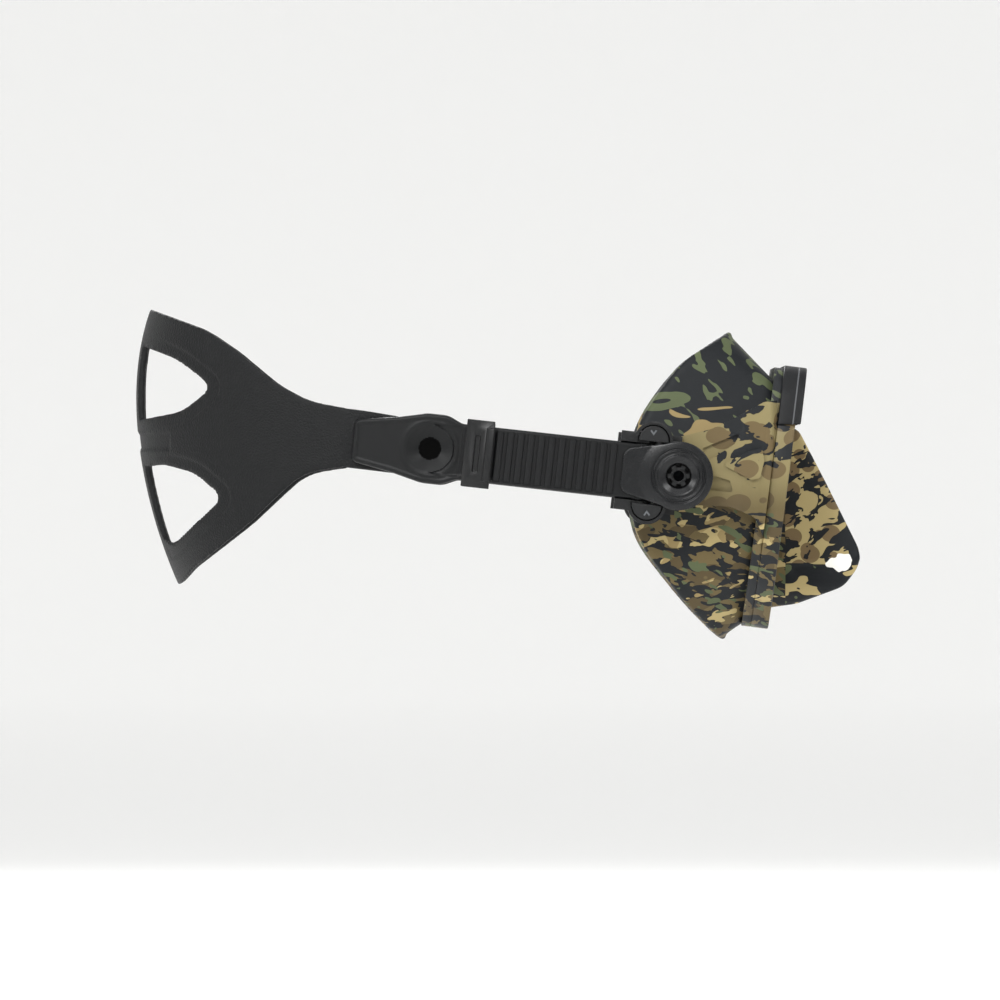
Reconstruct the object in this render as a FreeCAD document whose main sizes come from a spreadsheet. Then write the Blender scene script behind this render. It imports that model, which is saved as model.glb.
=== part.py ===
"""Low-volume twin-lens diving mask with a camouflage skirt, swivel buckles and a split headband.

Millimetres. +X is the wearer's left, -Y is forward and +Z is up. The origin is midway between the
two buckle pivots, whose common axis is the X axis. The left side is modelled and mirrored.
"""
import FreeCAD
import Part

import math
import os
import re

V = FreeCAD.Vector
doc = FreeCAD.newDocument("diving_mask")

# ---------------------------------------------------------------- driving dimensions
SIZES = {
    # front frame, lenses and brow: depths run back from the front plane, which tilts with the face
    "lens_tilt": 7.3,
    "front_plane": 37.4,
    "half_width": 71.0,
    "top_height": 36.0,
    "bottom_depth": 56.0,
    "bezel_depth": 6.1,
    "bezel_wall": 2.2,
    "bezel_lip": 1.4,
    "lip_cover": 1.4,
    "frame_depth": 3.0,
    "frame_gap": 0.6,
    "lens_margin": 5.6,
    "lens_thick": 3.2,
    "brow_wall": 1.1,
    "brow_front": 1.8,
    "brow_end": 17.4,
    # skirt
    "skirt_wall": 2.0,
    "skirt_lip": 3.0,
    "skirt_inset": 4.0,
    "seal_half": 66.0,
    "seal_back": 20.0,
    "nose_tip": 63.0,
    "nose_half": 17.3,
    # side arms and pivots
    "arm_face": 72.5,
    "arm_thick": 3.2,
    "arm_end_radius": 10.5,
    "slot_depth": 1.3,
    "wedge_height": 1.0,
    "washer_thick": 0.6,
    "washer_radius": 7.5,
    "pin_radius": 4.8,
    "pin_tube": 2.9,
    "pin_bore": 1.8,
    "flange_radius": 6.6,
    "flange_thick": 1.4,
    "running_gap": 0.08,
    "clearance": 0.3,
    # buckle
    "strap_rise": 6.3,
    "disc_radius": 11.6,
    "disc_wall": 1.2,
    "plate_thick": 1.3,
    "cheek_inner": 0.9,
    "cheek_outer": 1.5,
    "housing_end": 20.6,
    "cover_thick": 2.0,
    "cover_tail": 19.2,
    "cover_tail_half": 7.2,
    "hub_radius": 6.4,
    "hub_hole": 4.2,
    "guard_radius": 6.6,
    "guard_wall": 1.1,
    "guard_u": 9.6,
    "guard_v": 10.8,
    "button_travel": 0.8,
    "cap_thick": 1.3,
    "wheel_radius": 2.7,
    "wheel_thick": 0.9,
    "wheel_teeth": 10,
    "spring_radius": 1.3,
    "spring_wire": 0.4,
    "spring_turns": 4,
    # straps
    "strap_width": 19.0,
    "strap_thick": 2.0,
    "strap_bow": 3.7,
    "strap_join": 112.0,
    "roller_radius": 2.0,
    "roller_u": 14.0,
    "journal_radius": 1.4,
    "axle_radius": 0.8,
    "tail_thick": 2.8,
    "tail_bow": 1.8,
    "tail_end": 110.5,
    "tab_half": 11.8,
    "tab_hole_u": 84.3,
    "tab_hole_radius": 4.0,
    "tab_cone_radius": 8.2,
    "keeper_u": 68.0,
    "keeper_length": 9.4,
    "keeper_wall": 1.5,
    # headband, on an oval head
    "head_half": 79.6,
    "head_middle": 84.0,
    "head_rear": 182.5,
    "band_thick": 2.2,
    "rear_post_half": 11.5,
}

sheet = doc.addObject("Spreadsheet::Sheet", "Sizes")
for row, (alias, value) in enumerate(SIZES.items(), start=1):
    sheet.set(f"A{row}", alias)
    sheet.set(f"B{row}", repr(float(value)))
    sheet.setAlias(f"B{row}", alias)
doc.recompute()


def bound(formula):
    """A formula of size names as an expression on the sheet."""
    words = sorted(SIZES, key=len, reverse=True)
    return re.sub(r"\b(" + "|".join(words) + r")\b", r"Sizes.\1", str(formula))


# ---------------------------------------------------------------- modelling helpers
AXES = {
    "x": FreeCAD.Rotation(V(0, 1, 0), 90),
    "y": FreeCAD.Rotation(V(1, 0, 0), -90),
    "z": FreeCAD.Rotation(),
}
NODES = []


def place(item, x, y, z):
    """Binds the base point of an item's placement."""
    for axis, formula in zip("xyz", (x, y, z)):
        item.setExpression(f"Placement.Base.{axis}", bound(formula))


def box(name, x, y, z):
    """A box between (low, high) formulas along each axis."""
    item = doc.addObject("Part::Box", name)
    for prop, (low, high) in zip(("Length", "Width", "Height"), (x, y, z)):
        item.setExpression(prop, bound(f"({high}) - ({low})"))
    place(item, x[0], y[0], z[0])
    return item


def cylinder(name, radius, axis, low, high, at=("0", "0")):
    """A cylinder along an axis from low to high, centred at the two other coordinates."""
    item = doc.addObject("Part::Cylinder", name)
    item.Placement = FreeCAD.Placement(V(), AXES[axis])
    item.setExpression("Radius", bound(radius))
    item.setExpression("Height", bound(f"({high}) - ({low})"))
    spot = list(at)
    spot.insert("xyz".index(axis), low)
    place(item, *spot)
    return item


def cone(name, radius_low, radius_high, low, high, at=("0", "0")):
    """A cone along X from low to high."""
    item = doc.addObject("Part::Cone", name)
    item.Placement = FreeCAD.Placement(V(), AXES["x"])
    item.setExpression("Radius1", bound(radius_low))
    item.setExpression("Radius2", bound(radius_high))
    item.setExpression("Height", bound(f"({high}) - ({low})"))
    place(item, low, *at)
    return item


def fuse(name, *parts):
    item = doc.addObject("Part::MultiFuse", name)
    item.Shapes = list(parts)
    item.Refine = True
    return item


def cut(name, base, *tools):
    item = doc.addObject("Part::Cut", name)
    item.Base = base
    item.Tool = tools[0] if len(tools) == 1 else fuse(name + "_tools", *tools)
    return item


def common(name, *parts):
    item = doc.addObject("Part::MultiCommon", name)
    item.Shapes = list(parts)
    return item


def rounded(corners):
    """A closed wire in the XY plane through (x, y, radius) corners, each rounded by an arc."""
    points = [V(x, y, 0) for x, y, _ in corners]
    edges, previous_end, first_start = [], None, None
    for i, (x, y, radius) in enumerate(corners):
        here, before, after = points[i], points[i - 1], points[(i + 1) % len(points)]
        to_before, to_after = (before - here).normalize(), (after - here).normalize()
        half = to_before.getAngle(to_after) / 2
        reach = radius / math.tan(half)
        start, end = here + to_before * reach, here + to_after * reach
        middle_way = (to_before + to_after).normalize()
        middle = here + middle_way * (radius / math.sin(half) - radius)
        if previous_end is not None and (start - previous_end).Length > 1e-6:
            edges.append(Part.LineSegment(previous_end, start).toShape())
        edges.append(Part.Arc(start, middle, end).toShape())
        previous_end = end
        first_start = first_start or start
    if (first_start - previous_end).Length > 1e-6:
        edges.append(Part.LineSegment(previous_end, first_start).toShape())
    return Part.Wire(edges)


def turned(item, angle):
    """An item turned about the pivot axis, which is the X axis."""
    item.Placement = FreeCAD.Placement(V(), FreeCAD.Rotation(V(1, 0, 0), angle))
    return item


def both_sides(half):
    """A symmetric outline from the corners of its +X half, listed from top to bottom."""
    return half + [(-x, y, radius) for x, y, radius in reversed(half)]


def draw(sketch, wires):
    """Adds the lines and arcs of flat wires to a sketch."""
    for wire in wires:
        for edge in wire.OrderedEdges:
            curve = edge.Curve
            if isinstance(curve, Part.Line):
                ends = [v.Point for v in edge.Vertexes]
                sketch.addGeometry(Part.LineSegment(*ends), False)
            elif edge.isClosed():
                sketch.addGeometry(Part.Circle(curve.Center, V(0, 0, 1), curve.Radius), False)
            else:
                sketch.addGeometry(Part.ArcOfCircle(curve, *edge.ParameterRange), False)


def padded(name, plane, wires, low, high):
    """A body with one sketch on an origin plane, padded along the plane's normal from low to high."""
    body = doc.addObject("PartDesign::Body", name)
    sketch = body.newObject("Sketcher::SketchObject", name + "_sketch")
    found = [f for f in body.Origin.OriginFeatures if f.Role == plane]
    sketch.AttachmentSupport = [(found[0], "")]
    sketch.MapMode = "FlatFace"
    sketch.setExpression("AttachmentOffset.Base.z", bound(low))
    draw(sketch, wires)
    pad = body.newObject("PartDesign::Pad", name + "_pad")
    pad.Profile = sketch
    pad.setExpression("Length", bound(f"({high}) - ({low})"))
    body.Tip = pad
    return body


def node(item, name):
    """Makes an item a node."""
    item.Label = name
    NODES.append(item)
    return item


def node_pair(item, name):
    """Makes an item the left node of a pair and its mirror image the right one."""
    node(item, name.format("left"))
    twin = doc.addObject("Part::Mirroring", item.Name + "_twin")
    twin.Source = item
    twin.Normal = (1, 0, 0)
    node(twin, name.format("right"))


def value(formula):
    """The present value of a formula of size names, read through a bound length."""
    gauge.setExpression("Length", bound(formula))
    gauge.recompute()
    return float(gauge.Length)


gauge = doc.addObject("Part::Box", "gauge")


# ---------------------------------------------------------------- front frame
def on_front(item):
    """Stands an item of the front frame on the tilted front plane."""
    tilt = FreeCAD.Rotation(V(1, 0, 0), sheet.lens_tilt)
    item.Placement = FreeCAD.Placement(V(0, -sheet.front_plane, 0), tilt)
    return item


def side_corners():
    """The frame outline's +X corners down the outside, from the top to the bottom."""
    half, top, bottom = sheet.half_width, sheet.top_height, sheet.bottom_depth
    return [
        (half - 11, top, 15),
        (half, top / 6, 60),
        (half - 5, -0.6 * bottom, 20),
        (half - 31, -bottom, 12),
    ]


def plain_outline(grow=0.0):
    """The front frame's outline without its nose notch."""
    wire = rounded(both_sides(side_corners()))
    return wire.makeOffset2D(grow) if grow else wire


def frame_outline(grow=0.0):
    """The front frame's outline with its nose notch."""
    notch = [(19, -0.69 * sheet.bottom_depth, 10), (7.6, 17.5, 6.6)]
    wire = rounded(both_sides(side_corners() + notch))
    return wire.makeOffset2D(grow) if grow else wire


def lens_outline(grow=0.0):
    """The left lens's outline."""
    gap = sheet.lens_margin
    top, outer, low, bottom = side_corners()
    wire = rounded([
        (top[0] - 0.6 * gap, top[1] - gap, 12),
        (outer[0] - gap, outer[1], 45),
        (low[0] - 1.1 * gap, low[1] + 1, 16),
        (bottom[0], bottom[1] + gap + 1, 9),
        (19 + gap, bottom[1] + 19, 9),
        (9 + gap, 9, 10),
        (6.4 + gap, top[1] - gap - 2, 6),
    ])
    return wire.makeOffset2D(grow) if grow else wire


def both(wire):
    """A wire and its mirror image."""
    return [wire, wire.mirror(V(), V(1, 0, 0))]


def plate(name, outer, holes, low, high):
    """A plate of the front frame between two depths behind the front plane."""
    return on_front(padded(name, "XZ_Plane", [outer] + holes, f"-({high})", f"-({low})"))


LENS_BACK = "bezel_lip + lens_thick"
FRAME_BACK = "bezel_depth + frame_depth"


def make_bezel():
    """The painted band round the front and the thin lip that holds the lenses."""
    lip = plate("bezel_lip", frame_outline(), both(lens_outline(-sheet.lip_cover)), "0", "bezel_lip")
    inside = frame_outline(-sheet.bezel_wall)
    wall = plate("bezel_wall", frame_outline(), [inside], "bezel_lip", "bezel_depth")
    node(fuse("bezel", lip, wall), "front_bezel")


def make_lenses():
    """A flat glass lens for each eye."""
    node_pair(plate("lens", lens_outline(), [], "bezel_lip", LENS_BACK), "{}_lens")


def make_brow():
    """The black cover that caps the top of the frame and rims the lenses there."""
    outer = plain_outline(sheet.brow_wall)
    cap = plate("brow_cap", outer, [plain_outline()], "0", "bezel_depth")
    rim = plate("brow_rim", outer, both(lens_outline(-0.4)), "-brow_front", "0")
    reach = box("brow_reach", ("-half_width * 1.2", "half_width * 1.2"), ("-60", "0"),
                ("brow_end", "top_height + 20"))
    node(common("brow", fuse("brow_blank", cap, rim), reach), "brow_cover")


# ---------------------------------------------------------------- main frame with its arms
def arm_blank():
    """The side arm: its outline from the side, kept within its bent thickness from above."""
    face, thick, end = sheet.arm_face, sheet.arm_thick, sheet.arm_end_radius
    side = padded("arm_side", "YZ_Plane", [rounded([
        (-33.5, 25.6, 0.5), (-29, 25.0, 3), (-19.7, 19.9, 8), (-11, 15.8, 10),
        (end, end, end - 0.2), (end, -end, end - 0.2), (-7.6, -9.9, 8),
        (-17, -10.2, 12), (-25.8, -13.8, 5), (-29.3, -22.0, 1.5), (-32.5, -22.0, 0.5),
    ])], "arm_face - 15", "arm_face + 5")
    above = padded("arm_above", "XY_Plane", [rounded([
        (face - 6.0, -34.0, 0.3), (face - 1.2, -31.6, 2.5), (face, -22, 14), (face, 15, 0.3),
        (face - thick, 15, 0.3), (face - thick, -24, 6), (face - 4.5, -29.5, 2),
        (face - 6.5, -32.5, 0.3),
    ])], "-40", "40")
    return common("arm_solid", side, above)


def arm_details():
    """The sunk slots and the raised wedge on the arm's outer face."""
    sunk = "arm_face - slot_depth"
    upper = padded("upper_slot", "YZ_Plane", [rounded([
        (-8.2, 9.4, 0.3), (-21.1, 14.6, 0.5), (-19.0, 10.8, 0.5), (-10.2, 5.1, 0.3),
    ])], sunk, "arm_face + 3")
    lower = padded("lower_slot", "YZ_Plane", [rounded([
        (-10.8, 0.4, 0.3), (-17.4, -1.5, 0.8), (-18.6, -5.6, 0.8), (-10.6, -4.7, 0.3),
    ])], sunk, "arm_face + 3")
    wedge = padded("wedge", "YZ_Plane", [rounded([
        (-14.8, 3.9, 0.9), (-24.4, 8.6, 3), (-28.4, 9.4, 1.2), (-29.0, 5.0, 2),
        (-27.6, -0.7, 1.2), (-24.6, -1.3, 1.5),
    ])], "arm_face - 2", "arm_face + wedge_height")
    return upper, lower, wedge


def make_frame():
    """The ring behind the bezel, and the arm on each side that carries a pivot."""
    holes = both(lens_outline(sheet.frame_gap))
    ring = plate("ring", frame_outline(), holes, "bezel_depth", FRAME_BACK)
    upper, lower, wedge = arm_details()
    seat = cylinder("pin_seat", "pin_tube", "x", "arm_face - arm_thick - 1", "arm_face + 2")
    ahead = plate("bezel_room", plain_outline(20), [], "-20", "bezel_depth")
    arm = cut("arm", fuse("arm_raised", arm_blank(), wedge), upper, lower, seat, ahead)
    other = doc.addObject("Part::Mirroring", "other_arm")
    other.Source = arm
    other.Normal = (1, 0, 0)
    node(fuse("frame", ring, arm, other), "main_frame")


# ---------------------------------------------------------------- skirt
def section(name, wire, y=None, depth=None):
    """A sketch across the skirt: at a depth behind the front plane, or upright at a given Y."""
    sketch = doc.addObject("Sketcher::SketchObject", name)
    upright = FreeCAD.Rotation(V(1, 0, 0), 90)
    sketch.Placement = FreeCAD.Placement(V(0, y or 0, 0), upright)
    if depth is not None:
        tilt = FreeCAD.Rotation(V(1, 0, 0), sheet.lens_tilt)
        base = V(0, -sheet.front_plane, 0) + tilt.multVec(V(0, depth, 0))
        sketch.Placement = FreeCAD.Placement(base, tilt.multiply(upright))
    draw(sketch, [wire])
    return sketch


def loft(name, *sections):
    item = doc.addObject("Part::Loft", name)
    item.Sections = list(sections)
    item.Solid = True
    item.Ruled = True
    return item


def chamber(name, shrink, depth):
    """The tube between the lenses and the face, from a depth back past the sealing edge."""
    half, top, bottom = sheet.seal_half, sheet.top_height + 52, sheet.bottom_depth + 24
    front = plain_outline(-sheet.skirt_inset - shrink)
    rear = rounded(both_sides([
        (half - 20, top, 52), (half, 8, 60), (half - 3, -0.45 * bottom, 28), (half - 34, -bottom, 20),
    ])).makeOffset2D(-shrink or -0.001)
    near = section(name + "_front", front, depth=depth)
    far = section(name + "_rear", rear, y=sheet.seal_back)
    return loft(name, near, far)


def nose(name, shrink, back):
    """The nose pocket: its outline from the side, kept within its outline from the front."""
    tip, half = sheet.nose_tip, sheet.nose_half - shrink
    side = rounded([
        (-back, 16.5, 2), (-tip + 21.5, 16.5, 3.5), (-tip + 12.0, -2, 60), (-tip - 1.0, -28.3, 9),
        (-tip + 6.0, -37.6, 8), (-tip + 22, -43.5, 6), (-back, -46.5, 2),
    ])
    face = rounded(both_sides([
        (5.6, 16.5, 5.2), (half + shrink - 1.2, -25, 30), (half + shrink, -39, 6),
        (8, -48.5, 6),
    ]))
    if shrink:
        side = side.makeOffset2D(-shrink)
        face = face.makeOffset2D(-shrink)
    from_side = padded(name + "_side", "YZ_Plane", [side], "-40", "40")
    from_front = padded(name + "_face", "XZ_Plane", [face], "0", "90")
    return common(name, from_side, from_front)


def make_skirt():
    """The soft skirt: lens flanges, the chamber cut to the face, and the nose pocket."""
    lip = -sheet.skirt_lip
    around = plate("flange_around", frame_outline(-sheet.bezel_wall), both(lens_outline()),
                   "bezel_lip", LENS_BACK)
    behind = plate("flange_behind", frame_outline(-sheet.bezel_wall), both(lens_outline(lip)),
                   LENS_BACK, "bezel_depth")
    necks = []
    for index, ring in enumerate(both(lens_outline(sheet.frame_gap))):
        hole = both(lens_outline(lip))[index]
        necks.append(plate(f"neck_{index}", ring, [hole], "bezel_depth", FRAME_BACK))
    wall = plate("chamber_wall", plain_outline(-sheet.skirt_inset), both(lens_outline(lip)),
                 FRAME_BACK, f"{FRAME_BACK} + skirt_wall")

    back = sheet.bezel_depth + sheet.frame_depth
    outer = chamber("chamber_outer", 0.0, back + 0.5)
    inner = chamber("chamber_inner", sheet.skirt_wall, back + sheet.skirt_wall)
    face_side = padded("face_side", "YZ_Plane", [rounded([
        (-45, 52, 1), (-20, 50.5, 4), (-1.2, 38.8, 25), (13.3, 18.5, 30), (16.0, -2, 40),
        (13.5, -22, 22), (-3, -43.5, 60), (-14.5, -55.3, 5), (-29, -55.8, 4),
        (-37.2, -47.5, 6), (-45, -46, 1),
    ])], "-seal_half - 20", "seal_half + 20")
    body = common("chamber_cut", outer, face_side)
    solid = fuse("skirt_solid", around, behind, *necks, wall, body, nose("nose_outer", 0.0, 20))
    hollow = fuse("skirt_hollow", inner, nose("nose_inner", sheet.skirt_wall, 5))
    node(cut("skirt", solid, hollow), "face_skirt")


# ---------------------------------------------------------------- pivots
# Layers along the pivot axis, outwards from the arm.
BASE = "arm_face + washer_thick"
FLOOR = f"{BASE} + plate_thick"
INNER = f"{FLOOR} + clearance"
ROLLER_X = f"{INNER} + strap_thick + clearance + roller_radius"
OUTER = f"{ROLLER_X} + roller_radius + clearance"
ROOF = f"{OUTER} + strap_thick + clearance"
CAP_BACK = f"{ROOF} - clearance - cap_thick"
# Half widths across the strap.
CHEEK = "strap_width / 2 + clearance"
WHEEL_IN = f"{CHEEK} + cheek_inner"
WHEEL_OUT = f"{WHEEL_IN} + wheel_thick + 0.2"
CHEEK_OUT = f"{WHEEL_OUT} + cheek_outer"
WELL = "guard_radius - guard_wall"
LEG = "guard_v + 1.5"


def make_pivot():
    """The hollow pin that snaps into the arm and holds the buckle, and the washer round it."""
    flange_back = f"{FLOOR} + running_gap"
    tube = cylinder("pin_tube_solid", "pin_tube", "x", "arm_face - arm_thick", f"{ROOF} - 1.2")
    shank = cylinder("pin_shank", "pin_radius", "x", "arm_face", flange_back)
    flange = cylinder("pin_flange", "flange_radius", "x", flange_back, f"{flange_back} + flange_thick")
    bore = cylinder("pin_hollow", "pin_bore", "x", "arm_face - arm_thick - 1", f"{ROOF} + 1")
    node_pair(cut("pin", fuse("pin_blank", tube, shank, flange), bore), "swivel_pin_{}")
    washer = cut(
        "washer",
        cylinder("washer_disc", "washer_radius", "x", "arm_face", f"{BASE} - 0.05"),
        cylinder("washer_hole", "pin_radius", "x", "arm_face - 1", f"{BASE} + 1"),
    )
    node_pair(washer, "swivel_washer_{}")


# ---------------------------------------------------------------- buckle
def sides():
    """The name and the sign of the buckle's upper and lower half."""
    return (("upper", "1"), ("lower", "-1"))


def span(sign, near, far):
    """The (low, high) of a distance range on one side of the strap's middle."""
    return (near, far) if sign == "1" else (f"-({far})", f"-({near})")


def well(name, sign, radius, low, high):
    """A cylinder centred on a release button's well."""
    return cylinder(name, radius, "x", low, high, ("guard_u", f"{sign} * guard_v"))


def make_base():
    """The buckle's base: the eye on the pivot, the round wall, the cheeks and the button wells."""
    floor = box("base_floor", (BASE, FLOOR), ("0", "housing_end"), (f"-({CHEEK_OUT})", CHEEK_OUT))
    plates = [floor, cylinder("base_disc", "disc_radius", "x", BASE, FLOOR)]
    walls = [cylinder("base_round", "disc_radius", "x", FLOOR, ROOF)]
    rooms = [
        cylinder("pivot_room", "disc_radius - disc_wall", "x", FLOOR, ROOF),
        box("strap_room", (FLOOR, ROOF), ("guard_u - 1.6", "housing_end + 1"), (f"-({CHEEK})", CHEEK)),
    ]
    cheeks, drills = [], []
    for word, sign in sides():
        plates.append(well(f"{word}_plate", sign, "guard_radius", BASE, FLOOR))
        walls.append(well(f"{word}_guard", sign, "guard_radius", FLOOR, ROOF))
        rooms.append(well(f"{word}_well", sign, WELL, FLOOR, ROOF))
        across = span(sign, CHEEK, CHEEK_OUT)
        low_top = f"{CAP_BACK} - clearance"
        cheeks.append(box(f"{word}_cheek", (FLOOR, low_top), ("roller_u - 2.9", "housing_end"), across))
        cheeks.append(box(
            f"{word}_post", (FLOOR, ROOF), (f"guard_u + {WELL} + clearance", "housing_end"), across
        ))
        seat = span(sign, f"{LEG} - 4.6", f"{LEG} - 3.4")
        cheeks.append(box(f"{word}_spring_seat", (FLOOR, f"{CAP_BACK} - 1"), ("5.6", "9.2"), seat))
        drills.append(cylinder(
            f"{word}_wheel_room", "wheel_radius + clearance", "z",
            *span(sign, WHEEL_IN, WHEEL_OUT), (ROLLER_X, "roller_u")
        ))
    journal_end = f"{WHEEL_IN} + 0.1"
    drills += [
        cylinder("base_eye", "pin_radius + running_gap", "x", f"{BASE} - 1", f"{FLOOR} + 1"),
        cylinder("journal_holes", "journal_radius + running_gap", "z", f"-({journal_end})",
                 journal_end, (ROLLER_X, "roller_u")),
        cylinder("axle_holes", "axle_radius", "z", f"-({CHEEK_OUT} + 1)", f"{CHEEK_OUT} + 1",
                 (ROLLER_X, "roller_u")),
    ]
    shell = cut("base_walls", fuse("base_wall_blank", *walls), *rooms)
    blank = fuse("base_blank", shell, *plates, *cheeks)
    item = turned(cut("base", blank, *drills), sheet.strap_rise)
    node_pair(item, "buckle_base_{}")


def make_cover():
    """The teardrop cover, with its socket rings and a hole over the hollow pin."""
    eye, tail, half = sheet.disc_radius, sheet.cover_tail, sheet.cover_tail_half
    top = f"{ROOF} + cover_thick"
    disc = cylinder("cover_disc", "disc_radius", "x", ROOF, top)
    tip = padded("cover_tip", "YZ_Plane", [rounded([
        (0, eye, 0.5), (tail, half, 3.5), (tail, -half, 3.5), (0, -eye, 0.5),
    ])], ROOF, top)
    hub = cylinder("cover_hub", "hub_radius", "x", f"{FLOOR} + flange_thick + 2 * clearance", ROOF)
    inner = cylinder("hub_hollow", "pin_tube + 1.4", "x", FLOOR, f"{ROOF} - 0.2")
    hole = cylinder("cover_hole", "hub_hole", "x", FLOOR, f"{top} + 1")
    dish = cone("cover_dish", "hub_hole", "hub_radius", f"{top} - 1.4", f"{top} + 0.001")
    grooves = []
    for name, out, wide in (("outer", 9.3, 0.7), ("middle", 8.2, 1.2)):
        grooves.append(cut(
            f"{name}_groove",
            cylinder(f"{name}_groove_out", f"disc_radius * {out} / 11.6", "x", f"{top} - 0.6", f"{top} + 1"),
            cylinder(f"{name}_groove_in", f"disc_radius * {out} / 11.6 - {wide}", "x", FLOOR, f"{top} + 2"),
        ))
    item = cut("cover", fuse("cover_blank", disc, tip, hub), inner, hole, dish, *grooves)
    node_pair(turned(item, sheet.strap_rise), "buckle_cover_{}")


def make_roller():
    """The strap roller on its axle, with a ratchet wheel at each end."""
    at = (ROLLER_X, "roller_u")
    end = f"{WHEEL_OUT} - 0.1"
    roller = cut(
        "roller",
        fuse("roller_blank",
             cylinder("roller_barrel", "roller_radius", "z", "-strap_width / 2", "strap_width / 2", at),
             cylinder("roller_journal", "journal_radius", "z", f"-({end})", end, at)),
        cylinder("roller_bore", "axle_radius + running_gap", "z", f"-({end}) - 1", f"{end} + 1", at),
    )
    node_pair(turned(roller, sheet.strap_rise), "strap_roller_{}")
    rod = cylinder("axle_rod", "axle_radius", "z", f"-({CHEEK_OUT})", CHEEK_OUT, at)
    head = cylinder("axle_head", "journal_radius", "z", CHEEK_OUT, f"{CHEEK_OUT} + 0.6", at)
    node_pair(turned(fuse("axle", rod, head), sheet.strap_rise), "roller_axle_{}")


def tooth_outline():
    """A ratchet wheel's outline: each tooth rises slowly and drops at once."""
    teeth, tip = int(sheet.wheel_teeth), sheet.wheel_radius
    points = []
    for index in range(teeth):
        start = 2 * math.pi * index / teeth
        drop = start + 2 * math.pi * 0.93 / teeth
        points.append(V(0.8 * tip * math.cos(start), 0.8 * tip * math.sin(start), 0))
        points.append(V(tip * math.cos(drop), tip * math.sin(drop), 0))
    return Part.makePolygon(points + points[:1])


def make_wheels():
    """The pair of ratchet wheels on the roller's journals."""
    wheels = []
    for word, sign in sides():
        low, high = span(sign, f"{WHEEL_IN} + 0.1", f"{WHEEL_OUT} - 0.1")
        bore = Part.Wire(Part.makeCircle(sheet.journal_radius))
        wheel = padded(f"{word}_wheel", "XY_Plane", [tooth_outline(), bore], low, high)
        wheel.setExpression("Placement.Base.x", bound(ROLLER_X))
        wheel.setExpression("Placement.Base.y", bound("roller_u"))
        wheels.append(wheel)
    node_pair(turned(fuse("wheels", *wheels), sheet.strap_rise), "ratchet_wheels_{}")


def make_buttons():
    """The two release buttons: a D-shaped cap, a leg, and the pawl that locks a ratchet wheel."""
    for word, sign in sides():
        cap = common(
            f"{word}_cap",
            well(f"{word}_cap_round", sign, f"{WELL} - clearance", CAP_BACK, f"{CAP_BACK} + cap_thick"),
            box(f"{word}_cap_side", (CAP_BACK, f"{ROOF}"), ("0", "30"),
                span(sign, f"{CHEEK} + button_travel - 0.1", "30")),
        )
        leg = box(f"{word}_leg", (f"{FLOOR} + clearance", CAP_BACK), ("guard_u - 3.4", "guard_u + 1.2"),
                  span(sign, LEG, f"{LEG} + 1.4"))
        pawl = box(f"{word}_pawl", (f"{ROLLER_X} - 1", f"{ROLLER_X} + 1"),
                   ("guard_u", "roller_u - wheel_radius - 0.25"), span(sign, f"{WHEEL_IN} + 0.1", LEG))
        button = fuse(f"{word}_button", cap, leg, pawl)
        node_pair(turned(button, sheet.strap_rise), f"release_button_{word}_{{}}")


def make_springs():
    """The coil spring that pushes each release button outwards, as a stack of rings."""
    for word, sign in sides():
        near, far = f"{LEG} - 3.4", LEG
        pitch = f"({far} - ({near}) - 2 * spring_wire) / (spring_turns - 1)"
        coils = []
        for turn in range(int(sheet.spring_turns)):
            ring = doc.addObject("Part::Torus", f"{word}_coil_{turn}")
            ring.setExpression("Radius1", bound("spring_radius"))
            ring.setExpression("Radius2", bound("spring_wire"))
            place(ring, f"{ROLLER_X} - 0.6", "guard_u - 2.2",
                  f"{sign} * ({near} + spring_wire + {turn} * {pitch})")
            coils.append(ring)
        tie = box(f"{word}_coil_tie", (f"{ROLLER_X} - 0.6 + spring_radius - 0.2",
                                       f"{ROLLER_X} - 0.6 + spring_radius + 0.2"),
                  ("guard_u - 2.4", "guard_u - 2.0"), span(sign, near, far))
        spring = fuse(f"{word}_spring", *coils, tie)
        node_pair(turned(spring, sheet.strap_rise), f"button_spring_{word}_{{}}")


# ---------------------------------------------------------------- straps
def bowed(start, end, bow, low, high):
    """A closed plan outline (x, u) along an arc from start to end, between two offsets."""
    edges = []
    ends = []
    for offset in (low, high):
        first, last = V(start[0] + offset, start[1], 0), V(end[0] + offset, end[1], 0)
        middle = (first + last) / 2 + V(bow, 0, 0)
        edges.append(Part.Arc(first, middle, last).toShape())
        ends.append((first, last))
    edges.insert(1, Part.LineSegment(ends[0][1], ends[1][1]).toShape())
    edges.append(Part.LineSegment(ends[1][0], ends[0][0]).toShape())
    return Part.Wire(Part.__sortEdges__(edges))


def make_side_strap():
    """The elastic strap from the roller to the headband, with its turn round the roller."""
    inner, middle, thick = value(INNER), value(ROLLER_X), sheet.strap_thick
    start, end = (inner, sheet.roller_u), (inner + 1.6, sheet.strap_join)
    half = "strap_width / 2"
    wall = padded("side_wall", "XY_Plane", [bowed(start, end, sheet.strap_bow, 0, thick)],
                  f"-{half}", half)
    at = (ROLLER_X, "roller_u")
    turn = cut(
        "turn",
        cylinder("turn_out", f"{ROLLER_X} - ({INNER})", "z", f"-{half}", half, at),
        cylinder("turn_in", "roller_radius + clearance", "z", f"-{half} - 1", f"{half} + 1", at),
        box("turn_half", (f"{INNER} - 1", f"{ROOF} + 1"), ("roller_u", "roller_u + 10"),
            (f"-{half} - 1", f"{half} + 1")),
    )
    node_pair(turned(fuse("strap", wall, turn), sheet.strap_rise), "side_strap_{}")


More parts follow.
